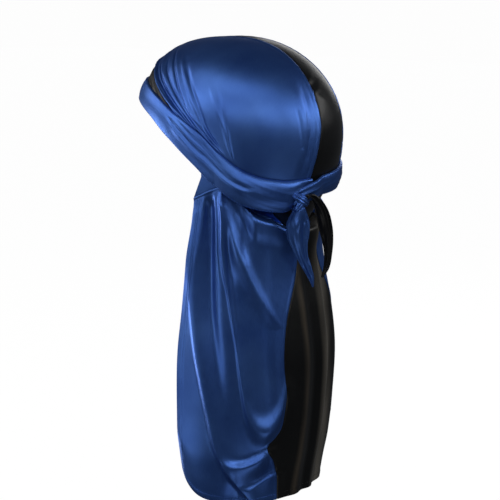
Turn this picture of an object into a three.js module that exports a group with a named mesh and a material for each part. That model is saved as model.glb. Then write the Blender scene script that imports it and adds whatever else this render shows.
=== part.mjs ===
// A durag of thin satin in two colours, as it sits when worn and tied at the back.
// Millimetres, +Z up. The wearer looks along -Y, and their left side is +X.
// The origin is the inside of the crown's top, where a head carries it.
import * as THREE from 'three';

// Head form inside the crown
const crownBreadth = 169;
const crownLength = 209;
const crownRise = 91.5;
const napeClosing = 118;
const backRoundness = 2;
const browRoundness = 2.7;

// Cloth
const clothWall = 1.2;
const strapWall = 1.6;
const clearance = 0.3;
const seamGap = 0.4;
const pleatHeight = 2.6;
const foldDepth = 9;

// Band and straps. The band climbs to the brow and falls to the nape by about bandSwing, above and
// below the head's middle, and swells outwards by strapSwell between its sewn edges.
const bandWidth = 27;
const bandSwing = 50;
const strapJoinBearing = 84;
const strapSwell = 0.5;
const strapSlack = 0.9;

// Knot and tie ends. The knot sits a little lower than the straps that meet in it.
const knotBearing = 23;
const knotDrop = 1.14 * bandSwing;
const knotBreadth = 20;
const knotHeight = 20;
const knotDepth = 12;
const tieEndWidth = 19;
const tieEndLength = 92;

// Tail. Its seam to the crown hides under the straps, and it hangs free of the head freeHang below them.
const tailLength = 318;
const tailBreadth = 192;
const tailDepth = 94;
const hemCornerRise = 46;
const hemCornerSquareness = 8;
const freeHang = 24;
const seamDrop = 0.88 * bandSwing;

// How finely the cloth is divided
const crownRings = 8;
const bandSteps = 34;
const strapSteps = 18;
const tailRows = 15;
const sideTailColumns = 19;
const centreTailColumns = 16;
const tieEndSteps = 14;

const blue = 0x24417f;
const black = 0x16171b;

// Heights of the band's middle as shares of bandSwing, by bearing from the back's middle, left side first.
// Width is a share of bandWidth.
const leftBandPath = [
  { bearing: 180, height: 0.88, width: 1.0 },
  { bearing: 150, height: 0.84, width: 1.0 },
  { bearing: 126, height: 0.6, width: 1.0 },
  { bearing: 108, height: 0.28, width: 1.0 },
  { bearing: 97, height: 0.06, width: 1.0 },
  { bearing: 86, height: -0.19, width: 1.0 },
  { bearing: 74, height: -0.49, width: 1.0 },
  { bearing: 61, height: -0.75, width: 0.98 },
  { bearing: 48, height: -0.92, width: 0.95 },
  { bearing: 35, height: -1.0, width: 0.94 },
  { bearing: 29, height: -1.02, width: 0.8 },
  { bearing: 20, height: -1.04, width: 0.45 },
];
const rightBandPath = [
  { bearing: 180, height: 0.88, width: 1.0 },
  { bearing: 150, height: 0.84, width: 1.0 },
  { bearing: 126, height: 0.6, width: 1.0 },
  { bearing: 108, height: 0.28, width: 1.0 },
  { bearing: 97, height: 0.06, width: 1.0 },
  { bearing: 86, height: -0.17, width: 1.0 },
  { bearing: 74, height: -0.42, width: 1.0 },
  { bearing: 58, height: -0.62, width: 0.98 },
  { bearing: 40, height: -0.73, width: 0.92 },
  { bearing: 20, height: -0.8, width: 0.8 },
  { bearing: 0, height: -0.85, width: 0.68 },
  { bearing: -12, height: -0.91, width: 0.62 },
  { bearing: -22, height: -1.0, width: 0.45 },
];

// Where the side panel's pleats meet, under the strap. Height is a share of bandSwing.
const gather = { bearing: 62, height: -0.56 };

// The seam between the black middle and the side panel, from the nape over the top to the brow and back
// along the band. Turn is measured round the gather from straight up, towards the back of the head,
// and reach is the angle from the gather.
const colourSeam = [
  { turn: 102.3, reach: 44 },
  { turn: 91.8, reach: 46.2 },
  { turn: 78.8, reach: 51 },
  { turn: 68.4, reach: 56.3 },
  { turn: 55.3, reach: 64.3 },
  { turn: 38.6, reach: 74.8 },
  { turn: 20.7, reach: 87.6 },
  { turn: 1.5, reach: 100.2 },
  { turn: -19, reach: 109.4 },
  { turn: -36.9, reach: 112.6 },
  { turn: -48, reach: 108.4 },
  { turn: -51.5, reach: 98.7 },
  { turn: -52.5, reach: 85 },
  { turn: -53.5, reach: 71 },
  { turn: -55.5, reach: 58 },
  { turn: -59, reach: 47 },
];

// How many steps divide each stretch of the colour seam, from one row of its table to another
const seamStretches = [
  { from: 0, to: 8, steps: 11 },
  { from: 8, to: 10.2, steps: 15 },
  { from: 10.2, to: 15, steps: 8 },
];

// The side panel's front edge, under the band and down behind the ear
const earEdge = [
  { turn: -63.5, reach: 40 },
  { turn: -68, reach: 30 },
  { turn: -86, reach: 21.5 },
  { turn: -110, reach: 22 },
];

// Height of the seam between crown and tail, as a share of seamDrop, by bearing to either side
const tailSeam = [
  { bearing: 0, height: -1.0 },
  { bearing: 45, height: -1.0 },
  { bearing: 62, height: -1.0 },
  { bearing: 73, height: -1.02 },
  { bearing: 80, height: -1.1 },
  { bearing: 86, height: -1.19 },
  { bearing: 93, height: -1.29 },
];

// Pleats of the side panel: their turn far from the gather, height as a share of pleatHeight and
// width in degrees. Near the gather they bend back by pleatBow degrees, and they fade out between
// the two reaches of pleatFade.
const pleatBow = 13;
const pleatFade = { from: 92, to: 112 };
const pleats = [
  { turn: -49.8, height: 0.9, width: 1.2 },
  { turn: -46, height: 1.0, width: 1.4 },
  { turn: -41.2, height: 0.9, width: 1.6 },
  { turn: -36, height: 0.65, width: 1.8 },
  { turn: -30, height: 0.45, width: 2.1 },
  { turn: -14, height: 0.45, width: 1.9 },
];

// Shape of the tail by drop, a share of tailLength from the seam to the hem.
// Breadth is a share of tailBreadth, depth of tailDepth, edge is the bearing of the side hem,
// seam the bearing of the colour seam.
const tailShape = [
  { drop: 0.0, breadth: 0.86, depth: 0.98, edge: 93, seam: 15.3 },
  { drop: 0.08, breadth: 0.885, depth: 0.88, edge: 93, seam: 14.2 },
  { drop: 0.18, breadth: 0.9, depth: 0.85, edge: 94, seam: 14.5 },
  { drop: 0.28, breadth: 0.915, depth: 0.87, edge: 95, seam: 17 },
  { drop: 0.4, breadth: 0.94, depth: 0.94, edge: 97, seam: 24 },
  { drop: 0.55, breadth: 0.98, depth: 1.0, edge: 99, seam: 30 },
  { drop: 0.7, breadth: 1.0, depth: 0.98, edge: 99, seam: 31.5 },
  { drop: 0.84, breadth: 0.99, depth: 0.93, edge: 98, seam: 40 },
  { drop: 0.92, breadth: 0.96, depth: 0.88, edge: 97, seam: 38 },
  { drop: 1.0, breadth: 0.94, depth: 0.84, edge: 96, seam: 35 },
];

// Folds that run down the tail. Top, middle and foot are bearings, from and to are drops,
// height is a share of foldDepth (below 0 for a valley) and width is in degrees.
const tailFolds = [
  { top: 90, middle: 85, foot: 60, from: 0.05, to: 1.1, height: 0.3, width: 3.5 },
  { top: 82, middle: 78, foot: 68, from: 0.0, to: 0.95, height: -0.55, width: 7 },
  { top: 71, middle: 62, foot: 50, from: 0.0, to: 0.86, height: 0.35, width: 3.5 },
  { top: 67, middle: 56, foot: 45, from: 0.06, to: 0.9, height: -0.45, width: 5 },
  { top: 71, middle: 38, foot: 32, from: 0.0, to: 0.7, height: 0.85, width: 7 },
  { top: 44, middle: 27, foot: 24, from: 0.02, to: 0.5, height: -0.5, width: 7 },
  { top: 20, middle: 17, foot: 20, from: 0.1, to: 1.0, height: 0.4, width: 5 },
  { top: 9, middle: 9, foot: 11, from: 0.1, to: 1.0, height: -0.45, width: 5 },
  { top: -4, middle: -3, foot: 0, from: 0.1, to: 1.0, height: 0.4, width: 6 },
  { top: -26, middle: -20, foot: -20, from: 0.02, to: 1.0, height: -0.4, width: 7 },
  { top: -60, middle: -38, foot: -34, from: 0.02, to: 0.9, height: 0.6, width: 8 },
  { top: -68, middle: -58, foot: -50, from: 0.06, to: 1.0, height: -0.5, width: 7 },
  { top: -74, middle: -70, foot: -64, from: 0.04, to: 1.0, height: 0.5, width: 6 },
  { top: -84, middle: -82, foot: -76, from: 0.05, to: 1.0, height: -0.45, width: 6 },
];

// Hollows where the cloth sags between its folds: middle, half sizes and depth
const tailSags = [
  { bearing: 47, drop: 0.08, halfBearing: 17, halfDrop: 0.05, depth: -0.85 },
  { bearing: 44, drop: 0.155, halfBearing: 17, halfDrop: 0.035, depth: 0.55 },
  { bearing: 43, drop: 0.79, halfBearing: 9, halfDrop: 0.06, depth: 0.75 },
  { bearing: 44, drop: 0.89, halfBearing: 11, halfDrop: 0.035, depth: -0.6 },
  { bearing: 50, drop: 0.95, halfBearing: 10, halfDrop: 0.04, depth: 0.5 },
  { bearing: -44, drop: 0.08, halfBearing: 17, halfDrop: 0.05, depth: -0.7 },
  { bearing: -40, drop: 0.8, halfBearing: 12, halfDrop: 0.07, depth: 0.5 },
];

// Tie ends: along is a share of tieEndLength below the knot, across and out are shares of knotBreadth
// sideways and outwards from the knot, width is a share of tieEndWidth, turn is in degrees
const leftTieEnd = [
  { along: 0.0, across: 0.06, out: 0.04, width: 0.45, turn: 10 },
  { along: 0.14, across: 0.0, out: 0.02, width: 0.85, turn: 4 },
  { along: 0.3, across: -0.12, out: -0.12, width: 1.0, turn: 0 },
  { along: 0.48, across: -0.42, out: -0.2, width: 0.74, turn: -8 },
  { along: 0.64, across: -0.68, out: -0.2, width: 0.45, turn: -20 },
  { along: 0.82, across: -1.05, out: -0.15, width: 0.3, turn: -14 },
  { along: 1.0, across: -1.4, out: -0.05, width: 0.1, turn: -8 },
];
const rightTieEnd = [
  { along: -0.1, across: -0.615, out: 0.05, width: 0.3, turn: -40 },
  { along: 0.1, across: -1.15, out: 0.2, width: 0.4, turn: -52 },
  { along: 0.3, across: -1.6, out: 0.35, width: 0.55, turn: -50 },
  { along: 0.5, across: -1.85, out: 0.5, width: 0.66, turn: -44 },
  { along: 0.66, across: -1.95, out: 0.55, width: 0.62, turn: -40 },
  { along: 0.8, across: -1.9, out: 0.45, width: 0.5, turn: -36 },
  { along: 0.92, across: -1.6, out: 0.25, width: 0.16, turn: -30 },
];

const radians = THREE.MathUtils.degToRad;
const degrees = THREE.MathUtils.radToDeg;
const headMiddle = new THREE.Vector3(0, 0, -crownRise);

// A smooth step from 0 to 1 while x goes from start to end
function easeBetween(start, end, x) {
  const share = THREE.MathUtils.clamp((x - start) / (end - start), 0, 1);
  return share * share * (3 - 2 * share);
}

// Reads one column of a table at a place between its rows, along a smooth curve
function readTable(rows, key, place, column) {
  const falling = rows[0][key] > rows[rows.length - 1][key];
  let next = rows.findIndex((row) => (falling ? row[key] < place : row[key] > place));
  if (next === -1) {
    next = rows.length - 1;
  }
  next = Math.max(1, next);
  const before = rows[next - 1];
  const after = rows[next];
  const step = after[key] - before[key];
  const share = THREE.MathUtils.clamp((place - before[key]) / step, 0, 1);
  const slopeAt = (index) => {
    const low = rows[Math.max(0, index - 1)];
    const high = rows[Math.min(rows.length - 1, index + 1)];
    return (high[column] - low[column]) / (high[key] - low[key]);
  };
  const startSlope = slopeAt(next - 1) * step;
  const endSlope = slopeAt(next) * step;
  const rise = after[column] - before[column];
  return before[column] + share * (startSlope
    + share * (3 * rise - 2 * startSlope - endSlope + share * (startSlope + endSlope - 2 * rise)));
}

// Distance from the head's middle to the head form along a unit direction
function headRadius(direction) {
  const level = Math.hypot(direction.x, direction.y);
  const backness = level > 0 ? 0.5 * (1 + direction.y / level) : 1;
  const roundness = browRoundness + (backRoundness - browRoundness) * backness;
  const rise = direction.z > 0 ? crownRise : napeClosing;
  const plan = (2 * direction.x / crownBreadth) ** 2 + (2 * direction.y / crownLength) ** 2;
  return (plan ** (roundness / 2) + Math.abs(direction.z / rise) ** roundness) ** (-1 / roundness);
}

// A point on the head form, raised by a distance
function onHead(direction, raised) {
  return headMiddle.clone().addScaledVector(direction, headRadius(direction) + raised);
}

// The unit direction that meets the head form at a bearing and a height from the head's middle
function directionAt(bearing, height) {
  let low = -89;
  let high = 89;
  let direction;
  for (let round = 0; round < 30; round += 1) {
    const lift = radians((low + high) / 2);
    direction = new THREE.Vector3(
      Math.sin(radians(bearing)) * Math.cos(lift),
      Math.cos(radians(bearing)) * Math.cos(lift),
      Math.sin(lift),
    );
    if (headRadius(direction) * direction.z < height) {
      low = degrees(lift);
    } else {
      high = degrees(lift);
    }
  }
  return direction;
}

const gatherDirection = directionAt(gather.bearing, gather.height * bandSwing);
const gatherUp = new THREE.Vector3(0, 0, 1).addScaledVector(gatherDirection, -gatherDirection.z).normalize();
const gatherBack = new THREE.Vector3().crossVectors(gatherUp, gatherDirection);

// The unit direction at a turn and a reach from the gather of the left panel
function directionFromGather(turn, reach) {
  const side = gatherUp.clone().multiplyScalar(Math.cos(radians(turn)))
    .addScaledVector(gatherBack, Math.sin(radians(turn)));
  return gatherDirection.clone().multiplyScalar(Math.cos(radians(reach)))
    .addScaledVector(side, Math.sin(radians(reach)));
}

// Turn and reach of a direction on the left of the head
function gatherPlace(direction) {
  const turn = degrees(Math.atan2(direction.dot(gatherBack), direction.dot(gatherUp)));
  const reach = degrees(Math.acos(THREE.MathUtils.clamp(direction.dot(gatherDirection), -1, 1)));
  return { turn, reach };
}

// Closes a grid of outer and inner points into one thin body. roundRows joins each row's end to its
// start. middleOf gives the true surface at a face's middle, and the face is split along the diagonal
// that lies nearer to it, so that slanting folds stay smooth.
function sheetFrom(outer, inner, roundRows = false, middleOf = null) {
  const rows = outer.length;
  const columns = outer[0].length;
  const vertices = [];
  const triangles = [];
  const at = (side, row, column) => side * rows * columns + row * columns + (column % columns);
  [...outer.flat(), ...inner.flat()].forEach((point) => vertices.push(point.x, point.y, point.z));
  const quad = (a, b, c, d) => triangles.push(a, b, c, a, c, d);
  const across = roundRows ? columns : columns - 1;
  for (let row = 0; row < rows - 1; row += 1) {
    for (let column = 0; column < across; column += 1) {
      const corners = [[row, column], [row, column + 1], [row + 1, column + 1], [row + 1, column]];
      if (middleOf) {
        const [a, b, c, d] = corners.map(([r, k]) => outer[r][k % columns]);
        const middle = middleOf(row, column);
        const first = a.clone().lerp(c, 0.5).distanceTo(middle);
        const second = b.clone().lerp(d, 0.5).distanceTo(middle);
        if (second < first) {
          corners.push(corners.shift());
        }
      }
      const [a, b, c, d] = corners;
      quad(...[a, b, c, d].map(([r, k]) => at(0, r, k)));
      quad(...[a, d, c, b].map(([r, k]) => at(1, r, k)));
    }
  }
  for (let column = 0; column < across; column += 1) {
    quad(at(0, 0, column + 1), at(0, 0, column), at(1, 0, column), at(1, 0, column + 1));
    const last = rows - 1;
    quad(at(0, last, column), at(0, last, column + 1), at(1, last, column + 1), at(1, last, column));
  }
  if (!roundRows) {
    for (let row = 0; row < rows - 1; row += 1) {
      const last = columns - 1;
      quad(at(0, row, 0), at(0, row + 1, 0), at(1, row + 1, 0), at(1, row, 0));
      quad(at(0, row + 1, last), at(0, row, last), at(1, row, last), at(1, row + 1, last));
    }
  }
  return { vertices, triangles };
}

// Turns the vertices and triangles into a geometry that faces outwards
function geometryFrom({ vertices, triangles }) {
  let volume = 0;
  const corner = (index) => new THREE.Vector3().fromArray(vertices, index * 3);
  for (let start = 0; start < triangles.length; start += 3) {
    const [a, b, c] = triangles.slice(start, start + 3).map(corner);
    volume += a.dot(b.cross(c));
  }
  const faces = volume < 0 ? triangles.slice().reverse() : triangles;
  const geometry = new THREE.BufferGeometry();
  geometry.setAttribute('position', new THREE.Float32BufferAttribute(vertices, 3));
  geometry.setIndex(faces);
  geometry.computeVertexNormals();
  return geometry;
}

// The outward normal of a surface given by two parameters
function normalOf(surface, u, v, stepU, stepV) {
  const alongU = surface(u + stepU, v).sub(surface(u - stepU, v));
  const alongV = surface(u, v + stepV).sub(surface(u, v - stepV));
  return alongU.cross(alongV).normalize();
}

// Height of the band's middle and half its upright height at a bearing on one side
function bandAt(path, bearing) {
  const height = readTable(path, 'bearing', bearing, 'height') * bandSwing;
  const width = readTable(path, 'bearing', bearing, 'width') * bandWidth;
  const ahead = readTable(path, 'bearing', bearing + 1, 'height') * bandSwing;
  const along = headRadius(directionAt(bearing, height)) * radians(1);
  const slope = Math.atan2(ahead - height, along);
  return { height, halfUpright: width / 2 / Math.cos(slope) };
}

// How far a place on the left of the head, or its mirror image, lies over the band's upper edge
function aboveBand(direction, mirror) {
  const bearing = degrees(Math.atan2(direction.x, direction.y));
  const band = bandAt(mirror > 0 ? leftBandPath : rightBandPath, bearing);
  return headRadius(direction) * direction.z - band.height - band.halfUpright;
}

// A point of the band: bearing along it, across from -1 at its lower edge to 1 at its upper edge
function bandPoint(path, mirror, bearing, across, raised) {
  const band = bandAt(path, bearing);
  const direction = directionAt(bearing, band.height + across * band.halfUpright);
  direction.x *= mirror;
  return onHead(direction, raised);
}

// A stretch of band or strap, sampled along and across
function bandStretch(pathAt, steps) {
  const acrossSteps = 4;
  const outer = [];
  const inner = [];
  for (let step = 0; step <= steps; step += 1) {
    const outerRow = [];
    const innerRow = [];
    for (let place = 0; place <= acrossSteps; place += 1) {
      const across = -1 + 2 * place / acrossSteps;
      const swell = strapSwell * (1 - across * across);
      const lift = clothWall + clearance;
      innerRow.push(pathAt(step / steps, across, lift + swell));
      outerRow.push(pathAt(step / steps, across, lift + swell + strapWall));
    }
    outer.push(outerRow);
    inner.push(innerRow);
  }
  return geometryFrom(sheetFrom(outer, inner));
}

function foreheadBand() {
  return bandStretch((share, across, raised) => {
    const turned = strapJoinBearing + share * 2 * (180 - strapJoinBearing);
    const mirror = turned <= 180 ? 1 : -1;
    const bearing = turned <= 180 ? turned : 360 - turned;
    return bandPoint(mirror > 0 ? leftBandPath : rightBandPath, mirror, bearing, across, raised);
  }, bandSteps);
}

// Bearing of the knot's side on the head form, where a strap stops
function knotSide(side) {
  const reach = knotBreadth / 2 + clearance;
  return knotBearing + side * degrees(Math.atan2(reach, crownLength / 2));
}

function strap(path, mirror, endBearing, steps) {
  const start = strapJoinBearing - degrees(clearance / (crownBreadth / 2));
  return bandStretch((share, across, raised) => {
    const bearing = start + (endBearing - start) * share;
    const lift = strapSlack * Math.sin(Math.PI * share) + raised;
    return bandPoint(path, mirror, bearing, across, lift);
  }, steps);
}

// A point on the colour seam at a share of its way from the nape to its tip by the band
function colourSeamAt(share) {
  const rows = colourSeam.map((row, place) => ({ ...row, place: place / (colourSeam.length - 1) }));
  const turn = readTable(rows, 'place', share, 'turn');
  return directionFromGather(turn, readTable(rows, 'place', share, 'reach'));
}

// The same seam moved towards the black middle by a distance over the head
function stripEdgeAt(share, distance) {
  const here = colourSeamAt(share);
  const ahead = colourSeamAt(Math.min(1, share + 0.005));
  const behind = colourSeamAt(Math.max(0, share - 0.005));
  const inward = new THREE.Vector3().crossVectors(ahead.sub(behind), here).normalize();
  return here.addScaledVector(inward, distance / headRadius(here)).normalize();
}

// Direction on the seam between crown and tail
function tailSeamAt(bearing) {
  return directionAt(bearing, readTable(tailSeam, 'bearing', Math.abs(bearing), 'height') * seamDrop);
}

// Shares of the colour seam's way at which the crown is divided
function seamShares() {
  const last = colourSeam.length - 1;
  const shares = seamStretches.flatMap((stretch) => (
    Array.from({ length: stretch.steps }, (_, step) => (
      (stretch.from + (stretch.to - stretch.from) * step / stretch.steps) / last
    ))
  ));
  return [...shares, 1];
}

function centreStrip() {
  const acrossSteps = 6;
  const browTurnShare = 0.68;
  const browPitch = 156;
  const outer = [];
  const inner = [];
  seamShares().forEach((share, row) => {
    const edge = stripEdgeAt(share, seamGap);
    const edgePitch = degrees(Math.atan2(edge.z, edge.y));
    const edgeReach = degrees(Math.asin(edge.x));
    const toBrow = easeBetween(browTurnShare, 1, share);
    const outerRow = [];
    const innerRow = [];
    for (let column = 0; column <= acrossSteps; column += 1) {
      const side = 1 - 2 * column / acrossSteps;
      const pitch = radians(edgePitch + (browPitch - edgePitch) * toBrow * (1 - Math.abs(side) ** 3));
      const reach = radians(edgeReach * side);
      let direction = new THREE.Vector3(
        Math.sin(reach),
        Math.cos(reach) * Math.cos(pitch),
        Math.cos(reach) * Math.sin(pitch),
      );
      if (row === 0) {
        direction = tailSeamAt(degrees(Math.atan2(edge.x, edge.y)) * side);
      }
      outerRow.push(onHead(direction, clothWall));
      innerRow.push(onHead(direction, 0));
    }
    outer.push(outerRow);
    inner.push(innerRow);
  });
  return geometryFrom(sheetFrom(outer, inner));
}

// Spoke directions of the side panel, round its whole outline
function sidePanelOutline() {
  const outline = [];
  seamShares().forEach((share) => outline.push(colourSeamAt(share)));
  earEdge.forEach((row) => outline.push(directionFromGather(row.turn, row.reach)));
  for (let column = sideTailColumns; column >= 0; column -= 1) {
    outline.push(tailSeamAt(sideTailBearing(column, 0)));
  }
  return outline;
}

// How far a line of the cloth that ends at a turn bends back at a reach
function bowAt(turn, reach) {
  return pleatBow * (1 - reach / pleatFade.from) * easeBetween(-95, -62, turn) * easeBetween(45, -10, turn);
}

// How far a pleat lifts the cloth at a direction
function pleatLift(direction, mirror) {
  const { turn, reach } = gatherPlace(direction);
  const rise = pleats.reduce((sum, pleat) => {
    const away = (turn - pleat.turn - bowAt(pleat.turn, reach)) / pleat.width;
    return sum + pleat.height * Math.exp(-away * away);
  }, 0);
  const clear = easeBetween(0, 7, aboveBand(direction, mirror));
  return pleatHeight * rise * clear * easeBetween(pleatFade.to, pleatFade.from, reach);
}

function sidePanel(mirror) {
  const outline = sidePanelOutline();
  const outer = [];
  const inner = [];
  for (let ring = 0; ring <= crownRings; ring += 1) {
    const share = Math.max(0.02, ring / crownRings);
    const outerRow = [];
    const innerRow = [];
    outline.forEach((end) => {
      const { turn, reach } = gatherPlace(end);
      const bow = bowAt(turn, reach * share) - bowAt(turn, reach);
      const direction = directionFromGather(turn + bow, reach * share);
      const lift = pleatLift(direction, mirror);
      direction.x *= mirror;
      outerRow.push(onHead(direction, clothWall + lift));
      innerRow.push(onHead(direction, lift));
    });
    outer.push(outerRow);
    inner.push(innerRow);
  }
  return geometryFrom(sheetFrom(outer, inner, true));
}

// Height of the lower edge of the strap that crosses a bearing
function strapFoot(bearing) {
  const left = bandAt(leftBandPath, Math.max(bearing, knotBearing - 3));
  const right = bandAt(rightBandPath, -Math.min(bearing, knotBearing - 1));
  const fromLeft = easeBetween(knotBearing - 9, knotBearing + 9, bearing);
  return THREE.MathUtils.lerp(right.height - right.halfUpright, left.height - left.halfUpright, fromLeft);
}

// Outer surface of the tail at a bearing and a drop
function tailPoint(bearing, drop) {
  const seamHeight = readTable(tailSeam, 'bearing', Math.abs(bearing), 'height') * seamDrop;
  const edgeShare = Math.abs(bearing) / readTable(tailShape, 'drop', drop, 'edge');
  const cornerRise = hemCornerRise * edgeShare ** hemCornerSquareness;
  const height = seamHeight - drop * (tailLength - cornerRise);
  const breadth = readTable(tailShape, 'drop', drop, 'breadth') * tailBreadth / 2;
  const depth = readTable(tailShape, 'drop', drop, 'depth') * tailDepth;
  const x = Math.sin(radians(bearing));
  const y = Math.cos(radians(bearing));
  const hanging = 1 / Math.hypot(x / breadth, y / depth);
  const worn = onHead(directionAt(bearing, height), clothWall);
  const freeFrom = Math.min(strapFoot(bearing), seamHeight) - strapWall;
  const free = easeBetween(0, freeHang, freeFrom - height);
  let lift = 0;
  tailFolds.forEach((fold) => {
    const line = fold.top + (fold.middle - fold.top) * easeBetween(-0.1, 0.46, drop)
      + (fold.foot - fold.middle) * easeBetween(0.4, 1, drop);
    const away = (bearing - line) / fold.width;
    const begun = easeBetween(fold.from, fold.from + 0.12, drop);
    const ended = easeBetween(fold.to - 0.12, fold.to + 0.02, drop);
    lift += foldDepth * fold.height * Math.exp(-away * away) * begun * (1 - ended);
  });
  tailSags.forEach((sag) => {
    const across = (bearing - sag.bearing) / sag.halfBearing;
    const down = (drop - sag.drop) / sag.halfDrop;
    lift += foldDepth * sag.depth * Math.exp(-across * across - down * down);
  });
  const hung = new THREE.Vector3(x * (hanging + lift), y * (hanging + lift), height - crownRise);
  return worn.lerp(hung, free);
}

const tailEdge = (drop) => readTable(tailShape, 'drop', drop, 'edge');
const tailColourSeam = (drop) => readTable(tailShape, 'drop', drop, 'seam');
const halfSeamGap = degrees(seamGap / (2 * Math.min(...tailShape.map((row) => row.depth)) * tailDepth));

// Bearing of a column of the left tail panel
function sideTailBearing(column, drop) {
  const start = tailColourSeam(drop) + halfSeamGap;
  return start + (tailEdge(drop) - start) * column / sideTailColumns;
}

// Bearing of a column of the middle tail panel
function centreTailBearing(column, drop) {
  const end = tailColourSeam(drop) - halfSeamGap;
  return end * (2 * column / centreTailColumns - 1);
}

// A panel of the tail, with its columns' bearings read from a function
function tailPanel(bearingAt, columns) {
  const outer = [];
  const inner = [];
  const topGap = seamGap / tailLength;
  const dropAt = (row) => topGap + (1 - topGap) * (row / tailRows) ** 1.1;
  for (let row = 0; row <= tailRows; row += 1) {
    const drop = dropAt(row);
    const outerRow = [];
    const innerRow = [];
    for (let column = 0; column <= columns; column += 1) {
      const bearing = bearingAt(column, drop);
      const point = tailPoint(bearing, drop);
      const outward = point.clone().sub(headMiddle).normalize();
      const normal = normalOf(tailPoint, bearing, drop, 0.5, 0.004);
      if (normal.dot(new THREE.Vector3(point.x, point.y, 0)) < 0) {
        normal.negate();
      }
      outward.lerp(normal, easeBetween(0, 0.05, drop)).normalize();
      outerRow.push(point);
      innerRow.push(point.clone().addScaledVector(outward, -clothWall));
    }
    outer.push(outerRow);
    inner.push(innerRow);
  }
  const middleOf = (row, column) => {
    const drop = dropAt(row + 0.5);
    return tailPoint(bearingAt(column + 0.5, drop), drop);
  };
  return geometryFrom(sheetFrom(outer, inner, false, middleOf));
}

// Middle of the knot, and its own outward, sideways and down directions
const knotDirection = directionAt(knotBearing, -knotDrop);
const knotOut = new THREE.Vector3(Math.sin(radians(knotBearing)), Math.cos(radians(knotBearing)), 0);
const knotAcross = new THREE.Vector3(Math.cos(radians(knotBearing)), -Math.sin(radians(knotBearing)), 0);
const knotSeat = onHead(knotDirection, clothWall + clearance);
const knotMiddle = knotSeat.clone().addScaledVector(knotOut, knotDepth / 2 + 3 * clearance);

function knot() {
  const geometry = new THREE.SphereGeometry(1, 16, 11);
  const position = geometry.getAttribute('position');
  const vertices = [];
  for (let index = 0; index < position.count; index += 1) {
    const around = new THREE.Vector3().fromBufferAttribute(position, index);
    const groove = 1 - 0.13 * Math.exp(-(((around.x + around.z * 0.5) / 0.22) ** 2));
    const point = knotMiddle.clone()
      .addScaledVector(knotAcross, around.x * knotBreadth / 2 * groove)
      .addScaledVector(knotOut, around.y * knotDepth / 2 * groove)
      .addScaledVector(new THREE.Vector3(0, 0, 1), around.z * knotHeight / 2 * groove);
    vertices.push(point.x, point.y, point.z);
  }
  geometry.setAttribute('position', new THREE.Float32BufferAttribute(vertices, 3));
  return geometry;
}

function tieEnd(path) {
  const acrossSteps = 4;
  const outer = [];
  const inner = [];
  for (let step = 0; step <= tieEndSteps; step += 1) {
    const first = path[0].along;
    const along = first + (path[path.length - 1].along - first) * step / tieEndSteps;
    const read = (column) => readTable(path, 'along', along, column);
    const middle = knotMiddle.clone()
      .addScaledVector(knotAcross, read('across') * knotBreadth)
      .addScaledVector(knotOut, read('out') * knotBreadth)
      .add(new THREE.Vector3(0, 0, -knotHeight / 2 - clearance - along * tieEndLength));
    const turn = radians(read('turn'));
    const sideways = knotAcross.clone().multiplyScalar(Math.cos(turn));
    sideways.addScaledVector(knotOut, Math.sin(turn));
    const outward = knotOut.clone().multiplyScalar(Math.cos(turn));
    outward.addScaledVector(knotAcross, -Math.sin(turn));
    const outerRow = [];
    const innerRow = [];
    for (let place = 0; place <= acrossSteps; place += 1) {
      const across = -1 + 2 * place / acrossSteps;
      const bowed = 0.12 * tieEndWidth * read('width') * (1 - across * across);
      const point = middle.clone()
        .addScaledVector(sideways, across * tieEndWidth / 2 * read('width'))
        .addScaledVector(outward, bowed);
      outerRow.push(point);
      innerRow.push(point.clone().addScaledVector(outward, -clothWall));
    }
    outer.push(outerRow);
    inner.push(innerRow);
  }
  return geometryFrom(sheetFrom(outer, inner));
}

const satin = (colour) => new THREE.MeshStandardMaterial({
  color: colour, roughness: 0.38, metalness: 0, side: THREE.DoubleSide,
});

const durag = new THREE.Group();

function addPiece(name, geometry, colour) {
  const mesh = new THREE.Mesh(geometry, satin(colour));
  mesh.name = name;
  durag.add(mesh);
}

addPiece('forehead_band', foreheadBand(), blue);
addPiece('left_strap', strap(leftBandPath, 1, knotSide(1), strapSteps), blue);
addPiece('right_strap', strap(rightBandPath, -1, -knotSide(-1), strapSteps + 8), blue);
addPiece('knot', knot(), blue);
addPiece('left_tie_end', tieEnd(leftTieEnd), blue);
addPiece('right_tie_end', tieEnd(rightTieEnd), black);
addPiece('left_crown_panel', sidePanel(1), blue);
addPiece('centre_crown_strip', centreStrip(), black);
addPiece('right_crown_panel', sidePanel(-1), blue);
addPiece('left_tail_panel', tailPanel(sideTailBearing, sideTailColumns), blue);
addPiece('centre_tail_panel', tailPanel(centreTailBearing, centreTailColumns), black);
addPiece('right_tail_panel', tailPanel(
  (column, drop) => -sideTailBearing(column, drop),
  sideTailColumns,
), blue);

export default durag;
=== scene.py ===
import math

import bpy
import numpy as np
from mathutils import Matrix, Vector


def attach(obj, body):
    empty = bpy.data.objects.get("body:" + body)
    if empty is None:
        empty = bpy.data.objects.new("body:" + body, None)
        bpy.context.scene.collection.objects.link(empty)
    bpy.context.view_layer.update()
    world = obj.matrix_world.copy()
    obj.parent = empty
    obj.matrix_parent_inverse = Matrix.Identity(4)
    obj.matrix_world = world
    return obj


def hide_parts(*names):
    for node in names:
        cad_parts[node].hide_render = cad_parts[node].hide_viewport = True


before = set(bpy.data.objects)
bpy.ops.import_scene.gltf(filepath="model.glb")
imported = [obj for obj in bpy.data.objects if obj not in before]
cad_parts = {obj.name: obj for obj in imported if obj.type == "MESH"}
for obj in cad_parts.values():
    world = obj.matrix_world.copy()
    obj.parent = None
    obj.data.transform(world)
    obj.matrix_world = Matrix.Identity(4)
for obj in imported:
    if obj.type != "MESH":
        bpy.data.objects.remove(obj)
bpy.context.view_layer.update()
print("frame loaded,", len(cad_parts), "nodes")

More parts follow.
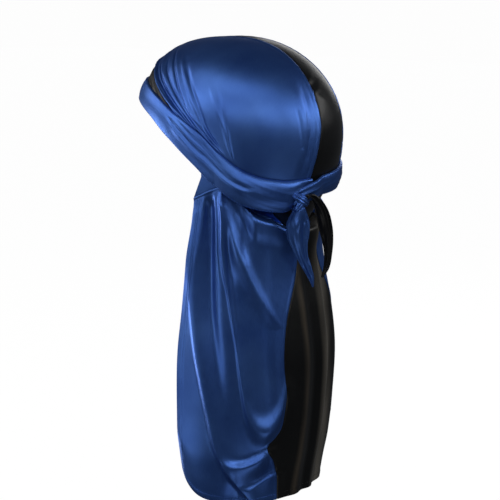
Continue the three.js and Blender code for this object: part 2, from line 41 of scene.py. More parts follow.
# Lengths are in millimetres until a mesh is made. +Z is up and the wearer looks along -Y.
# A bearing is in degrees from the middle of the back, positive to the wearer's left.
mm = 0.001

headForm = {
    "breadth": 169,
    "length": 209,
    "rise": 91.5,
    "napeClosing": 118,
    "backRoundness": 2.0,
    "browRoundness": 2.7,
}
cloth = {
    "surface": 1.2,  # where the outside of the crown lies over the head form
    "single": 0.6,  # one layer, a little thicker than real satin
    "hem": 0.45,  # what a turned hem adds on each face
}
headMiddle = np.array([0.0, 0.0, -headForm["rise"]])
upward = np.array([0, 0, 1.0])


def easeBetween(start, end, place):
    share = np.clip((place - start) / (end - start), 0, 1)
    return share * share * (3 - 2 * share)


def bump(away):
    return np.exp(-away * away)


def ridge(away, before, after):
    # a fold with its own width on either side of its crest
    return np.exp(-np.where(away < 0, away / before, away / after) ** 2)


def readColumn(table, key, place, column):
    # one column of a table, read along a smooth curve
    keys = np.array(table[key], float)
    values = np.array(table[column], float)
    place = np.asarray(place, float)
    if keys[0] > keys[-1]:
        keys = -keys
        place = -place
    place = np.clip(place, keys[0], keys[-1])
    slopes = np.gradient(values, keys)
    slopes[1:-1] = (values[2:] - values[:-2]) / (keys[2:] - keys[:-2])
    after = np.clip(np.searchsorted(keys, place), 1, len(keys) - 1)
    before = after - 1
    step = keys[after] - keys[before]
    share = (place - keys[before]) / step
    rise = values[after] - values[before]
    start = slopes[before] * step
    end = slopes[after] * step
    curve = 3 * rise - 2 * start - end + share * (start + end - 2 * rise)
    return values[before] + share * (start + share * curve)


def unit(vectors):
    return vectors / np.maximum(np.linalg.norm(vectors, axis=-1, keepdims=True), 1e-9)


def waves(place, count, seed):
    # a smooth uneven wave between -1 and 1, the same on each run
    dice = np.random.default_rng(seed)
    total = np.zeros_like(place, dtype=float)
    for step in range(1, 4):
        turns = count * step * dice.uniform(0.7, 1.3)
        total = total + np.sin(place * turns * 2 * np.pi + dice.uniform(0, 6.28)) / step
    return total / 1.83


def headRadius(direction):
    x, y, z = direction[..., 0], direction[..., 1], direction[..., 2]
    level = np.maximum(np.hypot(x, y), 1e-9)
    backness = 0.5 * (1 + y / level)
    brow = headForm["browRoundness"]
    roundness = brow + (headForm["backRoundness"] - brow) * backness
    rise = np.where(z > 0, headForm["rise"], headForm["napeClosing"])
    plan = (2 * x / headForm["breadth"]) ** 2 + (2 * y / headForm["length"]) ** 2
    return (plan ** (roundness / 2) + np.abs(z / rise) ** roundness) ** (-1 / roundness)


def onHead(direction, raised):
    return headMiddle + direction * (headRadius(direction) + raised)[..., None]


def directionAt(bearing, height):
    # the unit direction that meets the head form at a height from its middle
    bearing, height = np.broadcast_arrays(np.asarray(bearing, float), np.asarray(height, float))
    low = np.full(bearing.shape, -1.55)
    high = np.full(bearing.shape, 1.55)
    turn = np.radians(bearing)
    for _ in range(28):
        lift = (low + high) / 2
        level = np.cos(lift)
        direction = np.stack([np.sin(turn) * level, np.cos(turn) * level, np.sin(lift)], -1)
        under = headRadius(direction) * direction[..., 2] < height
        low = np.where(under, lift, low)
        high = np.where(under, high, lift)
    return direction


def distanceTo(points, line):
    # how far each point is from the nearest point of a line
    flat = points.reshape(-1, 3)
    nearest = np.full(len(flat), 1e9)
    for start in range(0, len(line), 60):
        part = line[start:start + 60]
        away = np.linalg.norm(flat[:, None, :] - part[None, :, :], axis=2).min(1)
        nearest = np.minimum(nearest, away)
    return nearest.reshape(points.shape[:-1])


def gridNormals(points, wrap=False):
    # outward normals of a grid of points, away from the head's upright middle line
    down = np.gradient(points, axis=0)
    if wrap:
        across = (np.roll(points, -1, 1) - np.roll(points, 1, 1)) / 2
    else:
        across = np.gradient(points, axis=1)
    return unit(np.cross(down, across))


stitch = {
    "spacing": 3.2,
    "length": 2.3,
    "thickness": 0.5,
}


def stitchesOn(line, outward):
    # short stitches lying along a line of points, as small closed beads
    steps = np.linalg.norm(np.diff(line, axis=0), axis=1)
    along = np.concatenate([[0], np.cumsum(steps)])
    middles = np.arange(stitch["spacing"], along[-1] - stitch["spacing"], stitch["spacing"])

    def read(values, places):
        return np.stack([np.interp(places, along, values[:, k]) for k in range(3)], -1)

    centre = read(line, middles)
    up = unit(read(outward, middles))
    heading = read(line, middles + 0.5) - centre
    heading = unit(heading - up * (heading * up).sum(-1, keepdims=True))
    side = np.cross(heading, up)
    rings = np.array([-1, -0.7, 0.7, 1]) * stitch["length"] / 2
    girth = np.array([0.3, 1, 1, 0.3]) * stitch["thickness"] / 2
    turn = np.linspace(0, 2 * np.pi, 6, endpoint=False)
    bead = centre[:, None, None] + heading[:, None, None] * rings[None, :, None, None]
    round_ = side[:, None, None] * np.cos(turn)[None, None, :, None]
    round_ = round_ + up[:, None, None] * np.sin(turn)[None, None, :, None]
    bead = bead + round_ * girth[None, :, None, None]
    number = np.arange(24).reshape(4, 6)
    after = np.roll(number, -1, 1)
    faces = np.stack([number[:-1], number[1:], after[1:], after[:-1]], -1).reshape(-1, 4)
    ends = [[0, 1, 2, 3], [0, 3, 4, 5], [21, 20, 19, 18], [23, 22, 21, 18]]
    faces = np.concatenate([faces, ends])
    faces = faces[None] + 24 * np.arange(len(centre))[:, None, None]
    return bead.reshape(-1, 3), faces.reshape(-1, 4)


def clothMesh(name, outer, inner, material, wrap=False, chart=None, seams=()):
    # closes a grid of outer and inner points into one thin body, with stitches along each seam line
    rows, columns = outer.shape[:2]
    vertices = np.concatenate([outer.reshape(-1, 3), inner.reshape(-1, 3)]) * mm
    number = np.arange(rows * columns).reshape(rows, columns)
    if wrap:
        number = np.concatenate([number, number[:, :1]], axis=1)
    other = rows * columns
    a, b = number[:-1, :-1], number[:-1, 1:]
    c, d = number[1:, 1:], number[1:, :-1]
    faces = [np.stack([a, b, c, d], -1).reshape(-1, 4)]
    faces.append(np.stack([d, c, b, a], -1).reshape(-1, 4) + other)

    def rim(line):
        return np.stack([line[1:], line[:-1], line[:-1] + other, line[1:] + other], -1)

    faces.append(rim(number[0]))
    faces.append(rim(number[-1][::-1]))
    if not wrap:
        faces.append(rim(number[:, 0][::-1]))
        faces.append(rim(number[:, -1]))
    faces = np.concatenate(faces)
    p, q, r = (vertices[faces[:, k]] for k in (0, 1, 2))
    s = vertices[faces[:, 3]]
    volume = (np.cross(p, q) * r).sum() + (np.cross(p, r) * s).sum()
    if volume < 0:
        faces = faces[:, ::-1]
    if chart is None:
        u, v = np.meshgrid(np.arange(columns) * 0.001, np.arange(rows) * 0.001)
        chart = np.stack([u, v], -1)
    chart = np.concatenate([chart.reshape(-1, 2), chart.reshape(-1, 2)])
    for line, outward in seams:
        beads, beadFaces = stitchesOn(line, outward)
        faces = np.concatenate([faces, beadFaces + len(vertices)])
        vertices = np.concatenate([vertices, beads * mm])
        chart = np.concatenate([chart, beads[:, [0, 2]] * mm])
    mesh = bpy.data.meshes.new(name)
    mesh.from_pydata(vertices.tolist(), [], faces.tolist())
    corners = np.zeros(len(mesh.loops), np.int32)
    mesh.loops.foreach_get("vertex_index", corners)
    layer = mesh.uv_layers.new(name="cloth")
    layer.data.foreach_set("uv", chart[corners].astype(np.float32).ravel())
    mesh.polygons.foreach_set("use_smooth", [True] * len(mesh.polygons))
    mesh.set_sharp_from_angle(angle=math.radians(70))
    mesh.materials.append(material)
    piece = bpy.data.objects.new(name, mesh)
    bpy.context.scene.collection.objects.link(piece)
    return piece


def chartOf(points):
    # a flat chart of a grid in metres: distance along its rows and down its columns
    across = np.linalg.norm(np.diff(points, axis=1), axis=2)
    down = np.linalg.norm(np.diff(points, axis=0), axis=2)
    u = np.concatenate([np.zeros((len(points), 1)), np.cumsum(across, 1)], 1)
    u = u - u.mean(1, keepdims=True)
    v = np.concatenate([np.zeros((1, points.shape[1])), np.cumsum(down, 0)], 0)
    return np.stack([u, v], -1) * mm


# Camera, on the photograph's angle: behind the wearer's left shoulder and a little above
cameraSetup = {
    "azimuth": 122,
    "elevation": 12,
    "lens": 100,
    "sensor": 36,
    "distance": 1388.9,
    "aimRight": 9,
    "aimDown": 120,
}


def towards(azimuth, elevation):
    side = math.radians(azimuth)
    lift = math.radians(elevation)
    level = math.cos(lift)
    return Vector((math.sin(side) * level, -math.cos(side) * level, math.sin(lift)))


def makeCamera():
    back = towards(cameraSetup["azimuth"], cameraSetup["elevation"])
    side = math.radians(cameraSetup["azimuth"])
    right = Vector((math.cos(side), math.sin(side), 0))
    up = back.cross(right)
    aim = Vector(headMiddle) + right * cameraSetup["aimRight"] - up * cameraSetup["aimDown"]
    data = bpy.data.cameras.new("camera")
    data.lens = cameraSetup["lens"]
    data.sensor_width = cameraSetup["sensor"]
    data.clip_end = 100
    camera = bpy.data.objects.new("camera", data)
    camera.location = (aim + back * cameraSetup["distance"]) * mm
    camera.rotation_mode = "QUATERNION"
    camera.rotation_quaternion = back.to_track_quat("Z", "Y")
    bpy.context.scene.collection.objects.link(camera)
    bpy.context.scene.camera = camera


makeCamera()
print("camera placed")


def linear(colour):
    # sRGB hex to the linear values that shaders take
    values = [int(colour[place:place + 2], 16) / 255 for place in (1, 3, 5)]
    values = [x / 12.92 if x <= 0.04045 else ((x + 0.055) / 1.055) ** 2.4 for x in values]
    return (*values, 1.0)


def addNode(tree, kind, settings=None, links=None):
    node = tree.nodes.new(kind)
    for name, value in (settings or {}).items():
        if isinstance(name, int) or name in node.inputs:
            node.inputs[name].default_value = value
        else:
            setattr(node, name, value)
    for name, source in (links or {}).items():
        tree.links.new(source, node.inputs[name])
    return node


# Polyester satin: filament yarn woven with long floats and pressed flat. The floats give a smooth,
# coloured gloss that spreads sideways over each fold, and the shaded sides of the folds stay deep.
blueSatinLook = {
    "deep": "#2f539c",
    "light": "#4067b0",
    "metallic": 0.84,
    "roughness": 0.37,
    "level": 1.0,
    "tint": "#e6eeff",
    "sheen": 0.03,
    "sheenTint": "#6f93e0",
    "spread": 0.3,
    "relief": 0.12,
}
blackSatinLook = {
    "deep": "#08090a",
    "light": "#0e0f11",
    "metallic": 0.2,
    "roughness": 0.36,
    "level": 0.45,
    "tint": "#dcdcdc",
    "sheen": 0.16,
    "sheenTint": "#8c8f96",
    "spread": 0.3,
    "relief": 0.12,
    # Painted light showing through: where the single cloth of the tail hangs loose against the light it is painted
    # lighter and brown. The place across the panel as a share of 120 mm, and the painted colour there
    "thin": [(0.2, "#08090a"), (0.32, "#6a665f"), (0.42, "#5a564f"), (0.5, "#0a0b0c"),
             (0.66, "#0a0b0c"), (0.71, "#3d372f"), (0.76, "#0a0b0c")],
}
yarn = {
    "float": 6.0,  # mm, the length of a slub in the yarn
    "pitch": 0.7,  # mm, real yarns are 0.1 mm apart, too fine to show, so they are drawn coarser
    "cloud": 38,  # mm, the size of the faint shading where the cloth was handled
}


def thinCloth(tree, look, chart, darkColour):
    # painted light showing through the cloth: lighter grey-brown bands across the panel, that come and go down its
    # length
    split = addNode(tree, "ShaderNodeSeparateXYZ", {}, {"Vector": chart.outputs["UV"]})
    across = addNode(
        tree, "ShaderNodeMapRange",
        {"From Min": -0.06, "From Max": 0.06},
        {"Value": split.outputs["X"]},
    )
    bands = addNode(tree, "ShaderNodeValToRGB", {}, {"Fac": across.outputs["Result"]})
    ramp = bands.color_ramp.elements
    while len(ramp) < len(look["thin"]):
        ramp.new(1.0)
    for element, (position, colour) in zip(ramp, look["thin"]):
        element.position = position
        element.color = linear(colour)
    lengthwise = addNode(
        tree, "ShaderNodeMapping", {"Scale": (30, 7, 1)}, {"Vector": chart.outputs["UV"]},
    )
    drift = addNode(
        tree, "ShaderNodeTexNoise", {"Scale": 1.0, "Detail": 2.0}, {"Vector": lengthwise.outputs["Vector"]},
    )
    below = addNode(
        tree, "ShaderNodeMapRange",
        {"From Min": 0.05, "From Max": 0.11},
        {"Value": split.outputs["Y"]},
    )
    share = addNode(
        tree, "ShaderNodeMapRange",
        {"From Min": 0.3, "From Max": 0.5},
        {"Value": drift.outputs["Fac"]},
    )
    amount = addNode(
        tree, "ShaderNodeMath", {"operation": "MULTIPLY"},
        {0: share.outputs["Result"], 1: below.outputs["Result"]},
    )
    mixed = addNode(
        tree, "ShaderNodeMix", {"data_type": "RGBA"},
        {0: amount.outputs["Value"], 6: darkColour, 7: bands.outputs["Color"]},
    )
    return mixed.outputs[2]


def satin(name, look, thin=False):
    material = bpy.data.materials.new(name)
    material.use_nodes = True
    tree = material.node_tree
    shader = tree.nodes["Principled BSDF"]
    chart = addNode(tree, "ShaderNodeUVMap", {"uv_map": "cloth"})
    place = addNode(tree, "ShaderNodeTexCoord")
    stretched = addNode(
        tree, "ShaderNodeMapping",
        {"Scale": (1000 / yarn["pitch"], 1000 / yarn["float"], 1)},
        {"Vector": chart.outputs["UV"]},
    )
    yarns = addNode(
        tree, "ShaderNodeTexNoise",
        {"Scale": 1.0, "Detail": 3.0, "Roughness": 0.6},
        {"Vector": stretched.outputs["Vector"]},
    )
    clouds = addNode(
        tree, "ShaderNodeTexNoise",
        {"Scale": 1000 / yarn["cloud"], "Detail": 2.0, "Roughness": 0.5},
        {"Vector": place.outputs["Object"]},
    )
    mixed = addNode(
        tree, "ShaderNodeMath",
        {"operation": "MULTIPLY_ADD", 1: 0.45},
        {0: yarns.outputs["Fac"], 2: clouds.outputs["Fac"]},
    )
    colour = addNode(tree, "ShaderNodeValToRGB", {}, {"Fac": mixed.outputs["Value"]})
    colour.color_ramp.elements[0].position = 0.45
    colour.color_ramp.elements[0].color = linear(look["deep"])
    colour.color_ramp.elements[1].position = 0.95
    colour.color_ramp.elements[1].color = linear(look["light"])
    gloss = addNode(
        tree, "ShaderNodeMapRange",
        {"From Min": 0.3, "From Max": 0.7, "To Min": look["roughness"] - 0.04,
         "To Max": look["roughness"] + 0.05},
        {"Value": yarns.outputs["Fac"]},
    )
    relief = addNode(
        tree, "ShaderNodeBump",
        {"Strength": look["relief"], "Distance": 0.0002},
        {"Height": yarns.outputs["Fac"]},
    )
    grain = addNode(tree, "ShaderNodeTangent", {"direction_type": "UV_MAP", "uv_map": "cloth"})
    # on the tail, painted light showing through the cloth is mixed into the base colour
    base = thinCloth(tree, look, chart, colour.outputs["Color"]) if thin else colour.outputs["Color"]
    tree.links.new(base, shader.inputs["Base Color"])
    tree.links.new(gloss.outputs["Result"], shader.inputs["Roughness"])
    tree.links.new(relief.outputs["Normal"], shader.inputs["Normal"])
    tree.links.new(grain.outputs["Tangent"], shader.inputs["Tangent"])
    shader.inputs["Metallic"].default_value = look["metallic"]
    shader.inputs["IOR"].default_value = 1.5
    shader.inputs["Specular IOR Level"].default_value = look["level"]
    shader.inputs["Specular Tint"].default_value = linear(look["tint"])
    shader.inputs["Sheen Weight"].default_value = look["sheen"]
    shader.inputs["Sheen Roughness"].default_value = 0.4
    shader.inputs["Sheen Tint"].default_value = linear(look["sheenTint"])
    shader.inputs["Anisotropic"].default_value = look["spread"]
    return material


blueSatin = satin("blueSatin", blueSatinLook)
blackSatin = satin("blackSatin", blackSatinLook)
# the black tail satin carries bands of painted light showing through it
blackTailSatin = satin("blackTailSatin", blackSatinLook, thin=True)
print("satins mixed")

# Crown. A side panel fans out from where its pleats are gathered, under the strap behind the ear.
# Turn is measured round the gather from straight up towards the back of the head, and reach is the
# angle from the gather.
crown = {
    "gather": (62, -28),  # bearing and height
    "spokes": 330,
    "rings": 96,
    "colourSeam": {
        "place": [0, 1, 2, 3, 4, 5, 6, 7, 8, 9, 10, 11, 12, 13, 14, 15],
        "turn": [102.3, 91.8, 78.8, 68.4, 55.3, 38.6, 20.7, 1.5, -19, -37.6,
                 -49.6, -54, -55.4, -55, -55.7, -59],
        "reach": [44, 46.2, 51.3, 57, 64.2, 77, 92.4, 104.4, 111.4, 112.8,
                  108.4, 98.7, 85, 71, 58, 47],
    },
    "earEdge": {
        "place": [0, 1, 2, 3, 4],
        "turn": [-59, -63.5, -68, -86, -110],
        "reach": [47, 40, 30, 21.5, 22],
    },
    "tailSeam": {
        "bearing": [0, 45, 62, 73, 80, 86, 93],
        "height": [-44, -44, -44, -44.9, -48.4, -52.4, -56.8],
    },
    "rightShift": 10,  # degrees that the right seam lies further round at the back
    "colourRidge": 0.55,  # how far the seam allowance lifts the blue
    "edgeRoll": 0.7,  # how far the panel's edge turns down into the seam
}
# Pleats: the line of each by reach and turn, its height, and its width in degrees on its brow side
# and on its back side. A height under 0 is a crease.
pleats = [
    {"reach": [20, 36, 46, 58, 72, 90, 112], "turn": [-50.5, -52, -52, -53, -54.2, -53.6, -50],
     "height": 2.1, "before": 0.9, "after": 1.2},
    {"reach": [15, 33, 43, 55, 68, 80, 110], "turn": [-46, -48.5, -49.2, -49.6, -50, -50.8, -46],
     "height": -1.8, "before": 0.7, "after": 0.7},
    {"reach": [30, 46, 58, 72, 90, 105], "turn": [-52.6, -53.4, -54, -54.7, -55, -53],
     "height": -0.9, "before": 0.35, "after": 0.35},
    {"reach": [30, 46, 58, 72, 90, 105], "turn": [-50.4, -50.6, -51, -51.8, -52.2, -50.4],
     "height": -1.0, "before": 0.4, "after": 0.4},
    {"reach": [12, 32, 42, 54, 68, 90, 112], "turn": [-42, -46, -47.4, -47.8, -48, -48, -42],
     "height": 1.7, "before": 1.0, "after": 2.4},
    {"reach": [14, 32, 44, 56, 70, 84, 96], "turn": [-39.6, -44.6, -46, -45.8, -45.6, -45, -42],
     "height": -1.1, "before": 0.6, "after": 0.7},
    {"reach": [12, 34, 45, 58, 68, 76, 104], "turn": [-38, -43.4, -45, -43, -41.6, -40.5, -38],
     "height": -1.3, "before": 0.8, "after": 0.8},
    {"reach": [12, 34, 45, 58, 68, 80, 104], "turn": [-36, -41.4, -42.6, -40.6, -39.2, -38, -36],
     "height": 1.0, "before": 1.1, "after": 2.6},
    {"reach": [10, 28, 40, 48, 56, 66, 90], "turn": [-34, -39.4, -37, -36.2, -35.6, -34.6, -33],
     "height": 0.8, "before": 1.8, "after": 1.4},
    {"reach": [10, 28, 40, 48, 56, 66, 80], "turn": [-31, -36.6, -34, -33, -32.6, -32, -31],
     "height": -1.1, "before": 1.3, "after": 1.5},
    {"reach": [4, 13, 24, 33, 40, 50, 60], "turn": [2, -8, -10.2, -12.4, -13.6, -14.6, -15],
     "height": -0.9, "before": 1.6, "after": 1.8},
    {"reach": [4, 13, 24, 33, 40, 50, 60], "turn": [-2, -12.5, -13.6, -15, -16, -17, -17.4],
     "height": 0.8, "before": 2.4, "after": 1.7},
]
# Straight drags of the cloth by the back seam
seamDrags = [
    {"from": (50.5, 50), "to": (74, 41), "height": -0.5, "width": 1.5},
    {"from": (56, 53.5), "to": (84, 42.5), "height": -0.6, "width": 1.3},
    {"from": (64, 49), "to": (92, 42), "height": 0.4, "width": 1.4},
]

gatherDirection = directionAt(*crown["gather"])
gatherUp = unit(np.array([0, 0, 1.0]) - gatherDirection * gatherDirection[2])
gatherBack = np.cross(gatherUp, gatherDirection)


def directionFromGather(turn, reach):
    turn = np.radians(turn)[..., None]
    reach = np.radians(reach)[..., None]
    side = gatherUp * np.cos(turn) + gatherBack * np.sin(turn)
    return gatherDirection * np.cos(reach) + side * np.sin(reach)


def gatherPlace(direction):
    turn = np.degrees(np.arctan2(direction @ gatherBack, direction @ gatherUp))
    reach = np.degrees(np.arccos(np.clip(direction @ gatherDirection, -1, 1)))
    return turn, reach


def colourSeamAt(place, mirror=1):
    seam = crown["colourSeam"]
    turn = readColumn(seam, "place", place, "turn")
    direction = directionFromGather(turn, readColumn(seam, "place", place, "reach"))
    if mirror > 0:
        return direction
    shift = crown["rightShift"] * easeBetween(0.5, 3, place) * easeBetween(9.5, 6, place)
    reach = np.arcsin(direction[..., 0]) + np.radians(shift)
    level = np.hypot(direction[..., 1], direction[..., 2])
    scale = np.cos(reach) / level
    return np.stack([np.sin(reach), direction[..., 1] * scale, direction[..., 2] * scale], -1)


def tailSeamHeight(bearing):
    return readColumn(crown["tailSeam"], "bearing", np.abs(bearing), "height")


# Band round the brow, and the straps that carry on from it to the knot
band = {
    "width": 27,
    "thickness": 1.6,
    "swell": 1.4,
    "join": 84,  # bearing at which the band ends and a strap begins
    "slack": 0.9,
    "fuller": 1.9,  # how much rounder the left strap gets towards the knot
    "lean": 2.2,  # how far the lower edge stands off the head
    "steps": 300,
    "across": 26,
    "stitched": (2, 24),  # columns of the grid that the stitching follows, by each folded edge
    "leftPath": {
        "bearing": [180, 150, 126, 108, 97, 86, 74, 61, 48, 35, 29, 22, 14],
        "height": [41, 38, 27, 12, 2, -9.5, -24.5, -37.5, -45.5, -49.2, -49.4, -47, -44.6],
        "width": [0.74, 0.74, 0.74, 0.84, 0.95, 1, 1, 0.98, 0.96, 0.95, 0.9, 0.74, 0.6],
    },
    "rightPath": {
        "bearing": [180, 150, 126, 108, 97, 86, 74, 58, 40, 20, 0, -12, -20, -30],
        "height": [41, 38, 27, 12, 2, -8.5, -21, -31, -36.5, -40, -43, -44.6, -48, -54],
        "width": [0.74, 0.74, 0.74, 0.84, 0.95, 1, 1, 0.98, 0.92, 0.82, 0.7, 0.62, 0.5, 0.3],
    },
}
# Lengthwise creases of the band: bearings, how far across each lies, height and width in millimetres
bandCreases = [
    {"bearing": [112, 104, 93, 86, 79, 70, 61, 48], "across": [0.5, 0.3, 0.1, 0.04, 0.14, 0.12, 0.16, 0.3],
     "height": -1.3, "before": 1.0, "after": 1.6},
    {"bearing": [112, 104, 93, 86, 79, 70, 61, 48], "across": [0.3, 0.1, -0.08, -0.14, -0.04, -0.06, -0.02, 0.1],
     "height": 1.0, "before": 3.4, "after": 1.0},
    {"bearing": [106, 98, 90, 82, 74, 66], "across": [0.8, 0.62, 0.5, 0.5, 0.5, 0.56],
     "height": -0.8, "before": 0.8, "after": 1.2},
]


def bandAt(path, bearing):
    height = readColumn(path, "bearing", bearing, "height")
    width = readColumn(path, "bearing", bearing, "width") * band["width"]
    ahead = readColumn(path, "bearing", bearing + 1, "height")
    along = headRadius(directionAt(bearing, height)) * math.radians(1)
    slope = np.arctan2(ahead - height, along)
    return height, width / 2 / np.cos(slope)


def bandPoint(path, mirror, bearing, across, raised):
    height, half = bandAt(path, bearing)
    direction = directionAt(bearing, height + across * half)
    return onHead(direction * np.array([mirror, 1, 1]), raised)


def aboveBand(direction, mirror):
    bearing = np.degrees(np.arctan2(direction[..., 0], direction[..., 1]))
    height, half = bandAt(band["leftPath"] if mirror > 0 else band["rightPath"], bearing)
    return headRadius(direction) * direction[..., 2] - height - half


def creaseLift(bearing, across, side):
    lift = np.zeros(np.broadcast(bearing, across).shape)
    for crease in bandCreases:
        middle = readColumn(crease, "bearing", bearing, "across")
        begun = easeBetween(crease["bearing"][0], crease["bearing"][0] - 14, bearing)
        ended = easeBetween(crease["bearing"][-1], crease["bearing"][-1] + 12, bearing)
        away = (across - middle) * band["width"] / 2
        lift = lift + crease["height"] * begun * ended * ridge(away, crease["before"], crease["after"])
    return lift if side > 0 else 0.7 * lift


def bandPiece(name, pointsAt, steps, lift, fuller=0):
    share = np.linspace(0, 1, steps + 1)[:, None]
    across = np.sin(np.linspace(-1, 1, band["across"] + 1) * np.pi / 2)[None, :]
    across = 0.35 * across + 0.65 * np.linspace(-1, 1, band["across"] + 1)[None, :]
    share, across = np.broadcast_arrays(share, across)
    swell = band["swell"] + fuller * easeBetween(0, 0.4, share) * easeBetween(1, 0.8, share)
    swell = swell * (1 - across ** 2)
    seat = cloth["surface"] + 0.3
    # the folded edges are round, so the wall thins out at each of them
    edge = np.sqrt(np.clip(1 - ((np.abs(across) - 0.9) / 0.1) ** 2, 0, 1))
    wall = band["thickness"] * np.where(np.abs(across) > 0.9, 0.2 + 0.8 * edge, 1)
    inner = pointsAt(share, across, seat + swell)
    outer = pointsAt(share, across, seat + swell + wall + lift(share, across))
    outward = unit(outer - headMiddle)
    seams = [(outer[:, column], outward[:, column]) for column in band["stitched"]]
    return clothMesh(name, outer, inner, blueSatin, chart=chartOf(outer)[..., ::-1], seams=seams)


def foreheadBand():
    def pointsAt(share, across, raised):
        raised = raised + band["lean"] * (1 - across) / 2
        turned = band["join"] + share * 2 * (180 - band["join"])
        left = bandPoint(band["leftPath"], 1, np.minimum(turned, 180), across, raised)
        right = bandPoint(band["rightPath"], -1, np.minimum(360 - turned, 180), across, raised)
        return np.where((turned <= 180)[..., None], left, right)

    def lift(share, across):
        turned = band["join"] + share * 2 * (180 - band["join"])
        bearing = np.minimum(turned, 360 - turned)
        side = np.where(turned <= 180, 1, 0.7)
        return creaseLift(bearing, across, 1) * side + 0.12 * waves(share, 9, 3) * (1 - across ** 2)

    return bandPiece("foreheadBand", pointsAt, band["steps"], lift)


knotSetup = {
    "bearing": 23,
    "drop": 57,
    "breadth": 20,
    "height": 20,
    "depth": 12,
}


def strap(name, path, mirror, endBearing, steps, seed):
    def bearingAt(share):
        return band["join"] + (endBearing - band["join"]) * share

    def pointsAt(share, across, raised):
        # the lower edge stands off the nape, over the cloth that is bunched under it
        off = (8 if mirror > 0 else 2.4) * easeBetween(band["join"], 56, np.abs(bearingAt(share)))
        off = np.maximum(off, band["lean"])
        if mirror > 0:
            off = off * (1 - 0.7 * easeBetween(32, 18, bearingAt(share)))
        raised = raised + band["slack"] * np.sin(np.pi * share) + off * (1 - across) / 2
        if mirror < 0:
            # the second strap crosses over the end of the first
            raised = raised + 4.2 * easeBetween(-6, -15, bearingAt(share))
            raised = raised - 2.2 * easeBetween(-23, -29, bearingAt(share))
        return bandPoint(path, mirror, bearingAt(share), across, raised)

    def lift(share, across):
        into = easeBetween(0.7, 1, share)
        drawn = np.sin(across * 9 + waves(share, 1.2, seed)) * (0.8 * into)
        drags = 0.35 * waves(across * 0.6 + share * 0.8, 2, seed + 1) * easeBetween(0.1, 0.6, share)
        return creaseLift(bearingAt(share), across, mirror) + (drawn + drags) * (1 - across ** 2)

    return bandPiece(name, pointsAt, steps, lift, fuller=band["fuller"] if mirror > 0 else 0.4)


def crownPanel(name, mirror):
    # the outline, as turn and reach, from the nape over the top to the ear and back along the tail
    place = np.concatenate([
        np.linspace(0, 8, 84, endpoint=False),
        np.linspace(8, 11, 100, endpoint=False),
        np.linspace(11, 15, 56, endpoint=False),
    ])
    seamTurn, seamReach = gatherPlace(colourSeamAt(place, mirror))
    turn = [seamTurn]
    reach = [seamReach]
    place = np.linspace(0, 4, 36, endpoint=False)
    turn.append(readColumn(crown["earEdge"], "place", place, "turn"))
    reach.append(readColumn(crown["earEdge"], "place", place, "reach"))
    bearing = np.linspace(93, 15.6, 60)
    foot = directionAt(bearing, tailSeamHeight(bearing))
    footTurn, footReach = gatherPlace(foot)
    turn.append(footTurn)
    reach.append(footReach)
    turn = np.concatenate(turn)
    reach = np.concatenate(reach)
    share = np.linspace(0, 1, crown["rings"] + 1)[:, None] ** 0.9
    share = 0.02 + 0.98 * share
    turn, far = np.broadcast_arrays(turn[None, :], reach[None, :])
    near = far * share
    out = turn + 0 * near
    direction = directionFromGather(out, near)
    lift = np.zeros(out.shape)
    for pleat in pleats:
        line = readColumn(pleat, "reach", near, "turn")
        along = easeBetween(pleat["reach"][0], pleat["reach"][0] + 12, near)
        along = along * easeBetween(pleat["reach"][-1], pleat["reach"][-1] - 14, near)
        lift = lift + pleat["height"] * along * ridge(out - line, pleat["before"], pleat["after"])
    for drag in seamDrags:
        start = directionFromGather(*map(np.array, drag["from"]))
        end = directionFromGather(*map(np.array, drag["to"]))
        track = np.linspace(0, 1, 24)[:, None]
        line = onHead(unit(start + (end - start) * track), np.full(24, cloth["surface"]))
        away = distanceTo(onHead(direction, np.full(out.shape, cloth["surface"])), line)
        lift = lift + drag["height"] * bump(away / drag["width"])
    over = aboveBand(direction, mirror)
    # under the strap the folds are pressed flat
    lift = lift * (0.15 + 0.85 * easeBetween(-3, 4, over))
    lift = np.where(over < 0, np.clip(lift, -1, 0.3), lift)
    seamLine = onHead(colourSeamAt(np.linspace(0, 15, 420), mirror), np.full(420, cloth["surface"]))
    away = distanceTo(onHead(direction, np.full(out.shape, cloth["surface"])), seamLine)
    clear = 0.2 + 0.8 * easeBetween(-3, 3, over)
    lift = lift * easeBetween(0, 1.2, away)
    lift = lift + crown["colourRidge"] * clear * easeBetween(5.5, 3.8, away) * easeBetween(0, 1.2, away)
    lift = lift - crown["edgeRoll"] * bump(away / 0.8)
    # the cloth is drawn in beside the seam, in a shallow hollow with a soft ridge beyond it
    level = headRadius(direction) * direction[..., 2]
    drawn = easeBetween(56, 38, level) * easeBetween(-36, -16, level)
    lift = lift + drawn * (0.6 * ridge(away - 20, 4, 5) - 0.8 * ridge(away - 12.5, 2.6, 2.6))
    pucker = np.sin(near * 2.1 + out * 0.4) * bump((away - 3) / 3)
    lift = lift + 0.12 * pucker * clear
    direction = direction * np.array([mirror, 1, 1])
    outer = onHead(direction, cloth["surface"] + lift)
    inner = onHead(direction, cloth["surface"] + lift - cloth["single"])
    chart = np.stack([np.radians(out) * 0.08, np.radians(near) * 0.09], -1)
    return clothMesh(name, outer, inner, blueSatin, wrap=True, chart=chart)


strip = {
    "rows": 330,
    "across": 44,
    "browTurnShare": 0.68,
    "browPitch": 156,
    "gap": 0.1,
    # short folds that run across it from the left seam: how far along, and their slope
    "drags": [
        {"place": 4.75, "slope": -0.12, "height": 0.55, "width": 0.08},
        {"place": 4.55, "slope": -0.1, "height": -0.5, "width": 0.07},
        {"place": 4.35, "slope": -0.1, "height": 0.5, "width": 0.08},
        {"place": 3.9, "slope": 0.3, "height": 0.45, "width": 0.14},
    ],
}


